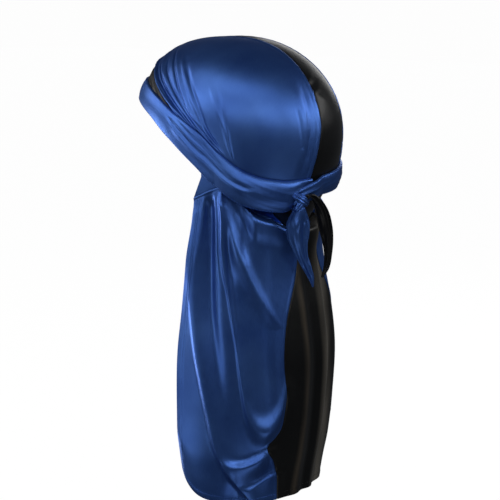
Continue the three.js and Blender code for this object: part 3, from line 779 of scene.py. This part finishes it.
def crownStrip():
    place = np.concatenate([
        np.linspace(0, 8, 190, endpoint=False),
        np.linspace(8, 11, 70, endpoint=False),
        np.linspace(11, 15, 71),
    ])
    side = np.linspace(1, -1, strip["across"] + 1)[None, :]
    edges = []
    for mirror in (1, -1):
        here = colourSeamAt(place, mirror)
        ahead = colourSeamAt(np.minimum(15, place + 0.075), mirror)
        behind = colourSeamAt(np.maximum(0, place - 0.075), mirror)
        inward = unit(np.cross(ahead - behind, here))
        edges.append(unit(here + inward * (strip["gap"] / headRadius(here))[:, None]))
    edge, rightEdge = edges
    edgePitch = np.degrees(np.arctan2(edge[:, 2], edge[:, 1]))[:, None]
    leftReach = np.degrees(np.arcsin(edge[:, 0]))[:, None]
    rightReach = np.degrees(np.arcsin(rightEdge[:, 0]))[:, None]
    edgeReach = np.where(side > 0, leftReach, rightReach)
    toBrow = easeBetween(strip["browTurnShare"], 1, place / 15)[:, None]
    pitch = np.radians(edgePitch + (strip["browPitch"] - edgePitch) * toBrow * (1 - np.abs(side) ** 3))
    reach = np.radians(edgeReach * side)
    direction = np.stack([np.sin(reach), np.cos(reach) * np.cos(pitch), np.cos(reach) * np.sin(pitch)], -1)
    bearing = np.degrees(np.arctan2(edge[0, 0], edge[0, 1])) * side[0]
    foot = directionAt(bearing, tailSeamHeight(bearing))
    blend = easeBetween(1.2, 0, place)[:, None, None]
    direction = unit(direction * (1 - blend) + foot[None] * blend)
    # small drags run across the strip from the seams, and the brow end is gathered
    away = (1 - np.abs(side)) * np.radians(edgeReach) * 100
    lift = -0.5 * bump(away / 0.9)
    lift = lift + 0.3 * waves(place[:, None] / 15 + 0.02 * side, 5, 21) * (1 - side ** 2)
    gathered = easeBetween(9.6, 11.5, place)[:, None]
    lift = lift + 0.5 * np.sin(side * 36 + waves(side * 2, 3, 4)) * gathered * easeBetween(0, 2, away)
    for drag in strip["drags"]:
        row = place[:, None] - drag["place"] - drag["slope"] * side
        lift = lift + drag["height"] * bump(row / drag["width"]) * easeBetween(-0.3, 0.6, side)
    outer = onHead(direction, cloth["surface"] + lift)
    inner = onHead(direction, cloth["surface"] + lift - cloth["single"])
    return clothMesh("crownStrip", outer, inner, blackSatin, chart=chartOf(outer))


# Tail. Drop is a share of its length from the seam to the hem.
tail = {
    "length": 318,
    "breadth": 192,
    "depth": 94,
    "cornerRise": 46,
    "cornerSquareness": 8,
    "freeHang": 62,
    "rows": 280,
    "sideColumns": 140,
    "middleColumns": 96,
    "hemWidth": 7,
    "shape": {
        "drop": [0.0, 0.08, 0.18, 0.28, 0.4, 0.55, 0.7, 0.84, 0.92, 1.0],
        "breadth": [0.86, 0.885, 0.9, 0.915, 0.94, 0.98, 1.0, 0.99, 0.96, 0.94],
        "depth": [0.98, 0.88, 0.85, 0.87, 0.94, 1.0, 0.98, 0.93, 0.88, 0.84],
        "edge": [93, 93, 94, 95, 97, 99, 99, 98, 97, 96],
    },
    # the colour seam: at the top the black cloth widens out to fill the pocket under the strap, as painted shade for
    # the pocket's dark
    "seam": {
        "drop": [0.0, 0.04, 0.07, 0.09, 0.11, 0.135, 0.16, 0.2, 0.28, 0.4, 0.47, 0.54, 0.67, 0.72, 0.76,
                 0.785, 0.8, 0.823, 0.86, 0.907, 1.0],
        "bearing": [42, 40, 37.5, 34.5, 30, 22, 16.5, 15.2, 18.4, 27, 30, 31.2, 30.2, 30.8, 32.6, 36.8,
                    40.5, 41.8, 37.5, 34.4, 32.5],
    },
    # the two long folds of each side: the columns of its grid follow them and are closest there
    "guides": {
        "drop": [0.0, 0.09, 0.17, 0.25, 0.32, 0.39, 0.49, 0.6, 0.71, 0.825, 0.91, 1.0],
        "inner": [72.8, 70.2, 70.2, 68.5, 65.5, 63.2, 60.0, 57.4, 54.5, 49, 46, 44],
        "outer": [88, 89, 90.5, 91.5, 90.3, 88.2, 85.2, 80.8, 76.6, 71.8, 63.4, 50],
    },
    "guidePlaces": [0, 0.42, 0.68, 1],
}
# Folds down the tail: drops, the bearing of the crest at each, its height in millimetres, and its
# width in degrees towards the back (before) and towards the side (after)
tailFolds = [
    # the broad fold at the side, which turns into a sharp pleat lower down
    {"drop": [0.02, 0.1, 0.2, 0.3, 0.45, 0.6, 0.76], "bearing": [90, 91, 92.5, 91.5, 88, 84, 79],
     "height": [1.5, 1.8, 2.2, 2.6, 2.2, 1.2, 0], "before": 7, "after": 7},
    {"drop": [0.2, 0.32, 0.49, 0.6, 0.71, 0.825, 0.91, 1.0],
     "bearing": [91.8, 90.3, 85.2, 80.8, 76.6, 71.8, 63.4, 50],
     "height": [0, 1, 2.4, 3.4, 4, 4.4, 4.2, 3.4], "before": 8, "after": 2.2},
    {"drop": [0.0, 0.1, 0.25, 0.39, 0.55, 0.76], "bearing": [80.5, 79.4, 79, 77.5, 73, 68],
     "height": [-4, -7, -7.2, -5.6, -3, 0], "before": 4.2, "after": 5},
    # the sharp pleat from under the strap
    {"drop": [0.0, 0.09, 0.17, 0.25, 0.32, 0.39, 0.49, 0.6, 0.68, 0.76],
     "bearing": [72.8, 70.2, 70.2, 68.5, 65.5, 63.2, 60.0, 57.4, 55.2, 51],
     "height": [2.2, 2.6, 2.8, 3, 3.2, 3.2, 3, 2.8, 2.4, 0], "before": 4, "after": 1.3},
    {"drop": [0.0, 0.09, 0.2, 0.3], "bearing": [75.8, 74.4, 73.6, 72],
     "height": [1.6, 1.8, 1.2, 0], "before": 1.0, "after": 1.5},
    {"drop": [0.0, 0.05, 0.14, 0.24], "bearing": [84.5, 84.6, 85.4, 87],
     "height": [1.4, 1.6, 1.2, 0], "before": 1.4, "after": 2.2},
    {"drop": [0.0, 0.04, 0.1, 0.17], "bearing": [66.5, 62, 57, 51],
     "height": [-1, -1.8, -1.8, 0], "before": 2.2, "after": 2.2},
    {"drop": [0.0, 0.09, 0.25, 0.45, 0.62], "bearing": [69.2, 67.4, 65.6, 60.2, 56],
     "height": [-1.4, -3, -3.4, -3, 0], "before": 3.2, "after": 1.8},
    # the broad bright fold that sweeps across to the back
    {"drop": [0.0, 0.045, 0.115, 0.182, 0.25, 0.323, 0.388, 0.44],
     "bearing": [72, 69, 65.2, 60.6, 54.8, 48, 40.6, 34],
     "height": [1.8, 3.4, 4.8, 5.6, 5.8, 5, 2.6, 0], "before": 3.2, "after": 5.6},
    # the middle panel
    {"drop": [0.1, 0.3, 0.5, 0.75, 1.0], "bearing": [17, 16, 16, 16, 16],
     "height": [0, 2.2, 2.4, 2.4, 1.6], "before": 5.5, "after": 6},
    {"drop": [0.1, 0.3, 0.5, 0.75, 1.0], "bearing": [5, 5, 4.5, 5, 6],
     "height": [0, -2.4, -2.6, -2.4, -1.6], "before": 4, "after": 5},
    {"drop": [0.1, 0.3, 0.5, 0.75, 1.0], "bearing": [-8, -7, -6, -5, -3],
     "height": [0, 2.6, 2.8, 2.8, 1.8], "before": 7, "after": 5},
    {"drop": [0.02, 0.2, 0.5, 0.75, 1.0], "bearing": [-15, -15, -14, -12, -11],
     "height": [0, -2.2, -2.8, -2.6, -1.6], "before": 5, "after": 5},
    {"drop": [0.2, 0.34, 0.5, 0.75, 1.0], "bearing": [-26, -27, -28, -28, -27],
     "height": [0, 2.8, 4.2, 4, 2.4], "before": 8, "after": 7},
    # the other side
    {"drop": [0.0, 0.09, 0.17, 0.25, 0.32, 0.39, 0.49, 0.6, 0.71],
     "bearing": [-72.8, -70.2, -70.2, -68.5, -65.5, -63.2, -60.0, -57.4, -54.5],
     "height": [1.5, 2.4, 2.8, 3, 3.2, 3.2, 2.8, 2, 0], "before": 1.1, "after": 7},
    {"drop": [0.0, 0.06, 0.13, 0.22, 0.32, 0.42, 0.52],
     "bearing": [-71, -66, -62, -56, -49, -43, -38],
     "height": [1, 3, 4.6, 6, 5.6, 3.6, 0], "before": 5, "after": 7},
    {"drop": [0.14, 0.25, 0.4, 0.55, 0.7, 0.9], "bearing": [-46, -42, -36, -32, -30, -30],
     "height": [0, -3, -3.6, -3.6, -3, -2], "before": 6, "after": 7},
    {"drop": [0.0, 0.12, 0.3, 0.45, 0.6], "bearing": [-81, -80, -78, -75, -71],
     "height": [-1.5, -4, -4, -3, 0], "before": 4.5, "after": 5},
    {"drop": [0.2, 0.32, 0.49, 0.6, 0.71, 0.825, 0.91, 1.0],
     "bearing": [-91.8, -90.3, -85.2, -80.8, -76.6, -71.8, -63.4, -50],
     "height": [0, 1.5, 2.5, 3.4, 4, 4, 3.6, 3], "before": 1.2, "after": 9},
]
# Swags, where the cloth sags across from fold to fold and stands out in a ledge: the drop of the
# lip at each bearing, its height in millimetres, and its width in drop above and below
tailSwags = [
    {"bearing": [31, 34, 38, 41.5, 45, 49, 53, 57], "drop": [0.64, 0.7, 0.735, 0.752, 0.755, 0.745, 0.715, 0.66],
     "height": [3, 5.4, 7, 7.6, 7.2, 5.6, 3.2, 0], "above": 0.042, "below": 0.045},
    {"bearing": [40, 43, 46, 49.2, 55.5, 61.5, 66, 70], "drop": [0.828, 0.838, 0.85, 0.86, 0.873, 0.875, 0.87, 0.86],
     "height": [3, 4.6, 5.6, 6, 5.8, 4.8, 2.6, 0], "above": 0.018, "below": 0.055},
    {"bearing": [34, 39, 44, 52, 58, 63], "drop": [0.915, 0.92, 0.932, 0.952, 0.952, 0.945],
     "height": [2, 3, 3, 2.6, 1.6, 0], "above": 0.012, "below": 0.08},
    # the corner flares out a little
    {"bearing": [60, 68, 80, 92, 99], "drop": [0.97, 0.97, 0.95, 0.93, 0.92],
     "height": [0, 4.5, 6, 6, 4], "above": 0.13, "below": 0.2},
    {"bearing": [-99, -92, -80, -68, -60], "drop": [0.92, 0.93, 0.95, 0.97, 0.97],
     "height": [4, 5.5, 5.5, 4.5, 0], "above": 0.13, "below": 0.2},
    {"bearing": [-66, -58, -50, -42, -34], "drop": [0.76, 0.79, 0.8, 0.785, 0.75],
     "height": [0, 3.4, 5, 4, 1], "above": 0.035, "below": 0.06},
    {"bearing": [-70, -62, -54, -46, -36], "drop": [0.87, 0.885, 0.89, 0.88, 0.87],
     "height": [0, 3, 4, 3, 1], "above": 0.015, "below": 0.04},
]
# The pocket under the strap: the lip that the cloth hangs over, at each bearing
pocket = {
    "bearing": [-58, -50, -38, -26, -12, 0, 14, 20, 28, 36, 42.5, 48.8, 52.2, 58],
    "drop": [0.03, 0.075, 0.11, 0.13, 0.15, 0.155, 0.155, 0.15, 0.14, 0.122, 0.113, 0.1, 0.077, 0.03],
    "depth": [0, 0.6, 1, 1, 1, 0.8, 0.8, 0.9, 1, 1, 1, 1, 0.75, 0],
    "lipWidth": 0.02,
    "lipRise": 8,
    "swell": 3.5,
}


def strapFoot(bearing):
    knotBearing = knotSetup["bearing"]
    left, leftHalf = bandAt(band["leftPath"], np.maximum(bearing, knotBearing - 3))
    right, rightHalf = bandAt(band["rightPath"], -np.minimum(bearing, knotBearing - 1))
    fromLeft = easeBetween(knotBearing - 9, knotBearing + 9, bearing)
    return (right - rightHalf) * (1 - fromLeft) + (left - leftHalf) * fromLeft


def tailLift(bearing, drop):
    lift = np.zeros(bearing.shape)
    for fold in tailFolds:
        line = readColumn(fold, "drop", drop, "bearing")
        height = readColumn(fold, "drop", drop, "height")
        if fold["drop"][0] > 0.01:
            height = height * easeBetween(fold["drop"][0] - 0.03, fold["drop"][0] + 0.05, drop)
        side = np.where(line < 0, -1, 1)
        lift = lift + height * ridge((bearing - line) * side, fold["before"], fold["after"])
    for swag in tailSwags:
        lip = readColumn(swag, "bearing", bearing, "drop")
        height = readColumn(swag, "bearing", bearing, "height")
        begun = swag["bearing"][0]
        ended = swag["bearing"][-1]
        height = height * easeBetween(begun - 10, begun, bearing) * easeBetween(ended + 10, ended, bearing)
        lift = lift + height * ridge(drop - lip, swag["above"], swag["below"])
    return lift


def tailPoints(bearing, drop, raised):
    shape = tail["shape"]
    bearing, drop = np.broadcast_arrays(bearing, drop)
    edgeShare = np.abs(bearing) / readColumn(shape, "drop", drop, "edge")
    rise = tail["cornerRise"] * np.minimum(edgeShare, 1.02) ** tail["cornerSquareness"]
    height = tailSeamHeight(bearing) - drop * (tail["length"] - rise)
    breadth = readColumn(shape, "drop", drop, "breadth") * tail["breadth"] / 2
    depth = readColumn(shape, "drop", drop, "depth") * tail["depth"]
    x = np.sin(np.radians(bearing))
    y = np.cos(np.radians(bearing))
    hanging = 1 / np.hypot(x / breadth, y / depth)
    freeFrom = np.minimum(strapFoot(bearing), tailSeamHeight(bearing)) - 1.6
    free = easeBetween(0, tail["freeHang"], freeFrom - height)
    surface = np.full(bearing.shape, cloth["surface"])
    # the cloth hangs straight down from the strap, except in the pocket, where it follows the neck
    held = onHead(directionAt(bearing, np.maximum(height, freeFrom)), surface)
    held[..., 2] = held[..., 2] + np.minimum(height - freeFrom, 0)
    # behind the lip of the pocket the cloth stays in against the neck
    pocketed = readColumn(pocket, "bearing", bearing, "depth") * (np.abs(bearing) < 58)
    lip = readColumn(pocket, "bearing", bearing, "drop")
    over = (drop - lip) / pocket["lipWidth"]
    free = free * (1 - pocketed) + easeBetween(-0.9, 0.9, over) * pocketed
    neck = onHead(directionAt(bearing, height), surface - 4 * pocketed * easeBetween(0, 0.05, drop))
    worn = held + (neck - held) * pocketed[..., None]
    lift = tailLift(bearing, drop) * (1 - pocketed * easeBetween(1.2, -0.6, over))
    lift = lift + pocket["swell"] * pocketed * ridge(over - 0.9, 0.8, 1.6)
    height = height + pocket["lipRise"] * pocketed * bump((over - 0.35) / 0.95)
    outward = np.stack([x, y, 0 * x], -1)
    hung = outward * hanging[..., None] + upward * (height - headForm["rise"])[..., None]
    points = worn * (1 - free[..., None]) + hung * free[..., None]
    # the folds stand out at once below the strap
    below = easeBetween(-2, 16, freeFrom - height) * (1 - pocketed) + free * pocketed
    points = points + outward * (lift * below)[..., None]
    if raised is None:
        return points
    normal = gridNormals(points)
    normal = normal * np.sign((normal * outward).sum(-1))[..., None]
    radial = unit(points - headMiddle)
    normal = unit(radial + (normal - radial) * easeBetween(0, 0.05, drop)[..., None])
    return points + normal * raised[..., None]


def hemSeams(outer, fromSide, fromFoot):
    # lines of stitching where the hem was turned over, down the free side and along the foot
    place = tail["hemWidth"] - 1
    normal = gridNormals(outer)
    radial = outer * np.array([1, 1, 0])
    normal = normal * np.sign((normal * radial).sum(-1))[..., None]
    seams = []

    def follow(away, grid):
        order = np.argsort(away)
        return [np.interp(place, away[order], grid[order, k]) for k in range(3)]

    if fromSide.min() < place:
        rows = [row for row in range(2, len(outer)) if fromFoot[row, 0] > place]
        line = np.array([follow(fromSide[row], outer[row]) for row in rows])
        outward = np.array([follow(fromSide[row], normal[row]) for row in rows])
        seams.append((line, outward))
    columns = [column for column in range(outer.shape[1]) if fromSide[-1, column] > place]
    line = np.array([follow(fromFoot[:, column], outer[:, column]) for column in columns])
    outward = np.array([follow(fromFoot[:, column], normal[:, column]) for column in columns])
    seams.append((line, outward))
    return seams


def tailPanel(name, bearingAt, columns, material, mirror=1):
    share = np.linspace(0, 1, columns + 1)[None, :]
    drop = (np.linspace(0, 1, tail["rows"] + 1) ** 1.12)[:, None]
    share, drop = np.broadcast_arrays(share, drop)
    bearing = bearingAt(share, drop) * mirror
    edge = readColumn(tail["shape"], "drop", drop, "edge")
    fromSide = np.radians(edge - np.abs(bearing)) * 92
    fromFoot = (1 - drop) * (tail["length"] - 8)
    away = np.minimum(fromSide, fromFoot)
    hem = easeBetween(tail["hemWidth"] + 0.8, tail["hemWidth"] - 0.4, away)
    stitched = bump((away - tail["hemWidth"] + 1) / 0.7)
    raised = hem * cloth["hem"] - 0.35 * stitched + 0.4 * bump((drop * tail["length"] - 1.2) / 1.2)
    if material is blackTailSatin:
        fromSeam = readColumn(tail["seam"], "drop", drop, "bearing") - np.abs(bearing)
        raised = raised - 1.25 * easeBetween(0.9, 0, fromSeam)
    else:
        fromSeam = np.abs(bearing) - readColumn(tail["seam"], "drop", drop, "bearing")
        raised = raised + 0.3 * ridge(fromSeam * 1.6 - 1.6, 1.2, 1.6)
    outer = tailPoints(bearing, drop, raised)
    inner = tailPoints(bearing, drop, -cloth["single"] - hem * cloth["hem"])
    seams = hemSeams(outer, fromSide, fromFoot)
    return clothMesh(name, outer, inner, material, chart=chartOf(outer), seams=seams)


def sideBearing(share, drop):
    places = tail["guidePlaces"]
    lines = [
        readColumn(tail["seam"], "drop", drop, "bearing") + 0.05,
        readColumn(tail["guides"], "drop", drop, "inner"),
        readColumn(tail["guides"], "drop", drop, "outer"),
        readColumn(tail["shape"], "drop", drop, "edge"),
    ]
    bearing = lines[0] + 0 * share
    for step in range(3):
        part = np.clip((share - places[step]) / (places[step + 1] - places[step]), 0, 1)
        part = part - 0.6 * np.sin(2 * np.pi * part) / (2 * np.pi)
        bearing = bearing + (lines[step + 1] - lines[step]) * part
    return bearing


def middleBearing(share, drop):
    # the black cloth runs on a little under the blue
    end = readColumn(tail["seam"], "drop", drop, "bearing") + 0.9
    return end * (2 * share - 1)


# Knot and tie ends. Aside is along the back towards the wearer's right, out is away from the head.
knotDirection = directionAt(knotSetup["bearing"], -knotSetup["drop"])
knotTurn = math.radians(knotSetup["bearing"])
knotOut = np.array([math.sin(knotTurn), math.cos(knotTurn), 0])
knotAside = np.array([-math.cos(knotTurn), math.sin(knotTurn), 0])
knotSeat = onHead(knotDirection, np.array(1.5))
knotMiddle = knotSeat + knotOut * (knotSetup["depth"] / 2 + 0.9)
# Each end runs down its own line: millimetres from the knot's middle, its width, its turn towards
# the camera side in degrees, and how deep its lengthwise fold is
tieEnds = {
    "steps": 150,
    "across": 22,
    "left": {
        "along": [0, 0.08, 0.2, 0.34, 0.46, 0.58, 0.7, 0.85, 1.0],
        "aside": [-1, -2, -2.5, -1.5, 1, 5, 10, 15.5, 18],
        "out": [3, 4.5, 3.5, 2, 1, 0.5, 0.5, 0.5, 0.5],
        "down": [2, 9, 20, 33, 44, 56, 66, 77, 87],
        "width": [9, 15, 23, 22, 16, 11, 9, 6, 1.5],
        "turn": [-8, -10, -14, -18, -20, -24, -24, -20, -16],
        "fold": [1.6, 2, 2.2, 1.6, 1.2, 1, 0.9, 0.7, 0.2],
    },
    "right": {
        "along": [0, 0.08, 0.18, 0.3, 0.45, 0.6, 0.75, 0.9, 1.0],
        "aside": [1, 8, 16, 23.5, 29.5, 33, 34.5, 33.5, 29],
        "out": [2, 6.5, 7, 6, 4.5, 3.5, 2.5, 1.5, 0.5],
        "down": [-1, -5, 1, 13, 29, 43, 56, 69, 79],
        "width": [6, 8, 10.5, 13.5, 13.5, 11, 8, 6, 2],
        "turn": [-60, -66, -58, -46, -38, -34, -30, -28, -26],
        "fold": [1.2, 1.4, 1.6, 1.4, 1.2, 1.2, 1, 0.8, 0.3],
    },
}


def tieEnd(name, path, material, seed):
    along = np.linspace(0, 1, tieEnds["steps"] + 1)[:, None]
    across = np.linspace(-1, 1, tieEnds["across"] + 1)[None, :]
    read = {key: readColumn(path, "along", along, key)[..., None] for key in path if key != "along"}
    middle = knotMiddle + knotAside * read["aside"] + knotOut * read["out"] - upward * read["down"]
    heading = unit(np.gradient(middle[:, 0], axis=0))[:, None, :]
    turn = np.radians(read["turn"])
    sideways = -knotAside * np.cos(turn) + knotOut * np.sin(turn)
    sideways = unit(sideways - heading * (sideways * heading).sum(-1, keepdims=True))
    outward = np.cross(heading, sideways)
    outward = outward * np.sign((outward * knotOut).sum(-1, keepdims=True))
    fold = read["fold"][..., 0]
    wander = 0.25 * waves(along, 0.8, seed)
    rise = fold * (np.cos((across - wander) * 4.2) + 0.35 * np.cos((across + wander) * 9))
    rise = rise * (1 - 0.5 * across ** 2)
    half = (across * read["width"][..., 0] / 2)[..., None]
    outer = middle + sideways * half + outward * rise[..., None]
    inner = outer - outward * 0.9
    outward = np.broadcast_to(outward, outer.shape)
    seams = [(outer[4:-24, column], outward[4:-24, column]) for column in (2, tieEnds["across"] - 2)]
    return clothMesh(name, outer, inner, material, chart=chartOf(outer), seams=seams)


# The knot: a core with two turns of the strap drawn over it. Lean is how far each turn is tipped,
# reach and depth are its half sizes, and from and to are where it starts and ends round the core.
knotTurns = [
    {"lean": -34, "reach": 9.0, "depth": 6.6, "width": 9.5, "from": -128, "to": 122, "shift": (0.5, 1.5), "seed": 5},
    {"lean": 58, "reach": 8.0, "depth": 5.6, "width": 8.0, "from": -125, "to": 125, "shift": (-0.5, -1.5), "seed": 8},
]


def knotCore():
    rows, columns = 40, 60
    up = np.linspace(-np.pi / 2 + 0.03, np.pi / 2 - 0.03, rows)[:, None]
    round_ = np.linspace(0, 2 * np.pi, columns, endpoint=False)[None, :]
    x = np.cos(up) * np.cos(round_) * 7
    y = np.cos(up) * np.sin(round_) * 5
    z = np.sin(up) * (8 + 0 * round_)
    folds = 1 + 0.06 * np.sin(x * 1.3 - z * 0.9)
    offset = knotAside * (x * folds)[..., None] + knotOut * (y * folds)[..., None] + upward * z[..., None]
    return clothMesh("strapKnot", knotMiddle + offset, knotMiddle + offset * 0.85, blueSatin, wrap=True)


def knotTurnPiece(turn):
    around = np.radians(np.linspace(turn["from"], turn["to"], 91))[:, None, None]
    across = np.linspace(-1, 1, 29)[None, :, None]
    lean = math.radians(turn["lean"])
    along = knotAside * math.cos(lean) + upward * math.sin(lean)
    sideways = upward * math.cos(lean) - knotAside * math.sin(lean)
    radial = along * np.sin(around) / turn["reach"] + knotOut * np.cos(around) / turn["depth"]
    radial = unit(radial + 0 * across)
    path = along * np.sin(around) * turn["reach"] + knotOut * np.cos(around) * turn["depth"]
    narrowing = 1 - 0.35 * np.sin(around) ** 2
    bend = 0.9 * np.sin(around * 1.2 + turn["seed"])
    swell = 2.2 * np.sqrt(np.clip(1 - across ** 2, 0, 1)) + 0.5 * np.cos(across * 10 + bend) * (1 - across ** 2)
    shift = knotAside * turn["shift"][0] + upward * turn["shift"][1]
    middle = knotMiddle + shift + path + sideways * (across * narrowing * turn["width"] / 2 + bend * 0.5)
    outer = middle + radial * swell
    inner = middle - radial * 0.4
    return clothMesh("knotTurn", outer, inner, blueSatin, chart=chartOf(outer))


def joinPieces(pieces):
    with bpy.context.temp_override(active_object=pieces[0], selected_editable_objects=pieces):
        bpy.ops.object.join()
    return pieces[0]


def knot():
    return joinPieces([knotCore()] + [knotTurnPiece(turn) for turn in knotTurns])


def place(piece, node, slot):
    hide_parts(node)
    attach(piece, "root")
    return piece


foreheadBandPiece = place(foreheadBand(), "forehead_band", "blue_satin")
leftStrap = place(strap("leftStrap", band["leftPath"], 1, 15, 130, 31), "left_strap", "blue_satin")
rightStrap = place(
    strap("rightStrap", band["rightPath"], -1, -29, 190, 37), "right_strap", "blue_satin",
)
print("band and straps folded")
knotPiece = place(knot(), "knot", "blue_satin")
leftEnd = place(tieEnd("leftTieEnd", tieEnds["left"], blueSatin, 41), "left_tie_end", "blue_satin")
rightEnd = place(tieEnd("rightTieEnd", tieEnds["right"], blackSatin, 43), "right_tie_end", "black_satin")
print("knot tied")
leftCrown = place(crownPanel("leftCrownPanel", 1), "left_crown_panel", "blue_satin")
rightCrown = place(crownPanel("rightCrownPanel", -1), "right_crown_panel", "blue_satin")
middleCrown = place(crownStrip(), "centre_crown_strip", "black_satin")
print("crown sewn")
leftTail = place(
    tailPanel("leftTailPanel", sideBearing, tail["sideColumns"], blueSatin), "left_tail_panel", "blue_satin",
)
rightTail = place(
    tailPanel("rightTailPanel", sideBearing, tail["sideColumns"], blueSatin, -1),
    "right_tail_panel", "blue_satin",
)
middleTail = place(
    tailPanel("middleTailPanel", middleBearing, tail["middleColumns"], blackTailSatin),
    "centre_tail_panel", "black_satin",
)
print("tail hung")


# A pale floor and a white surround that only the camera sees, so that they don't wash the satin out
studio = {
    "floorHeight": -0.75,  # metres
    "floorSize": 9.0,
    "ambient": 0.06,
    "boxSize": (1.1, 0.75),
    # azimuth, elevation, distance and watts of each box; the low ones are the light off a white table
    "boxes": {
        "rightBox": (212, 25, 2.2, 11),
        "backBox": (175, 25, 2.2, 8.6),
        "nearBox": (135, 25, 2.2, 5.6),
        "cameraBox": (95, 25, 2.2, 4.9),
        "leftBox": (55, 25, 2.2, 9),
        "farLeftBox": (15, 25, 2.2, 8.1),
        "levelLeftBox": (15, -5, 2.2, 8.4),
        "lowLeftBox": (0, -18, 2.2, 16),
        "lowSideBox": (66, -12, 2.2, 4),
        "tableBox": (146, -44, 2.2, 2.5),
        "highNearBox": (135, 50, 2.2, 3.2),
        "highCameraBox": (95, 50, 2.2, 4.4),
        "highLeftBox": (55, 50, 2.2, 3.4),
        "farBox": (285, 14, 2.4, 6),
    },
}


def glowing(name, colour, strength):
    material = bpy.data.materials.new(name)
    material.use_nodes = True
    shader = material.node_tree.nodes["Principled BSDF"]
    shader.inputs["Base Color"].default_value = linear("#101010")
    shader.inputs["Roughness"].default_value = 0.9
    shader.inputs["Emission Color"].default_value = linear(colour)
    shader.inputs["Emission Strength"].default_value = strength
    return material


def stageAndLight():
    size = studio["floorSize"]
    low = studio["floorHeight"]
    mesh = bpy.data.meshes.new("floor")
    corners = [(-size, -size, low), (size, -size, low), (size, size, low), (-size, size, low)]
    mesh.from_pydata(corners, [], [(0, 1, 2, 3)])
    mesh.materials.append(glowing("paleFloor", "#fdfdfd", 1.0))
    floor = bpy.data.objects.new("floor", mesh)
    bpy.ops.mesh.primitive_uv_sphere_add(segments=48, ring_count=24, radius=size * 1.3)
    surround = bpy.context.object
    surround.name = "surround"
    surround.data.materials.append(glowing("whiteSurround", "#fdfdfd", 1.0))
    bpy.context.scene.collection.objects.link(floor)
    for backdrop in (floor, surround):
        backdrop.visible_glossy = False
        backdrop.visible_diffuse = False
        backdrop.visible_shadow = False
    world = bpy.data.worlds.new("studio")
    world.use_nodes = True
    world.node_tree.nodes["Background"].inputs["Color"].default_value = linear("#e9eef6")
    world.node_tree.nodes["Background"].inputs["Strength"].default_value = studio["ambient"]
    bpy.context.scene.world = world
    aim = Vector((0, 0, -0.2))
    for name, (azimuth, elevation, away, watts) in studio["boxes"].items():
        data = bpy.data.lights.new(name, "AREA")
        data.shape = "RECTANGLE"
        data.size, data.size_y = studio["boxSize"]
        data.energy = watts
        lamp = bpy.data.objects.new(name, data)
        back = towards(azimuth, elevation)
        lamp.location = aim + back * away
        lamp.rotation_mode = "QUATERNION"
        lamp.rotation_quaternion = back.to_track_quat("Z", "Y")
        lamp.visible_camera = False
        bpy.context.scene.collection.objects.link(lamp)


stageAndLight()
bpy.context.scene.view_settings.view_transform = "Standard"
print("studio lit")
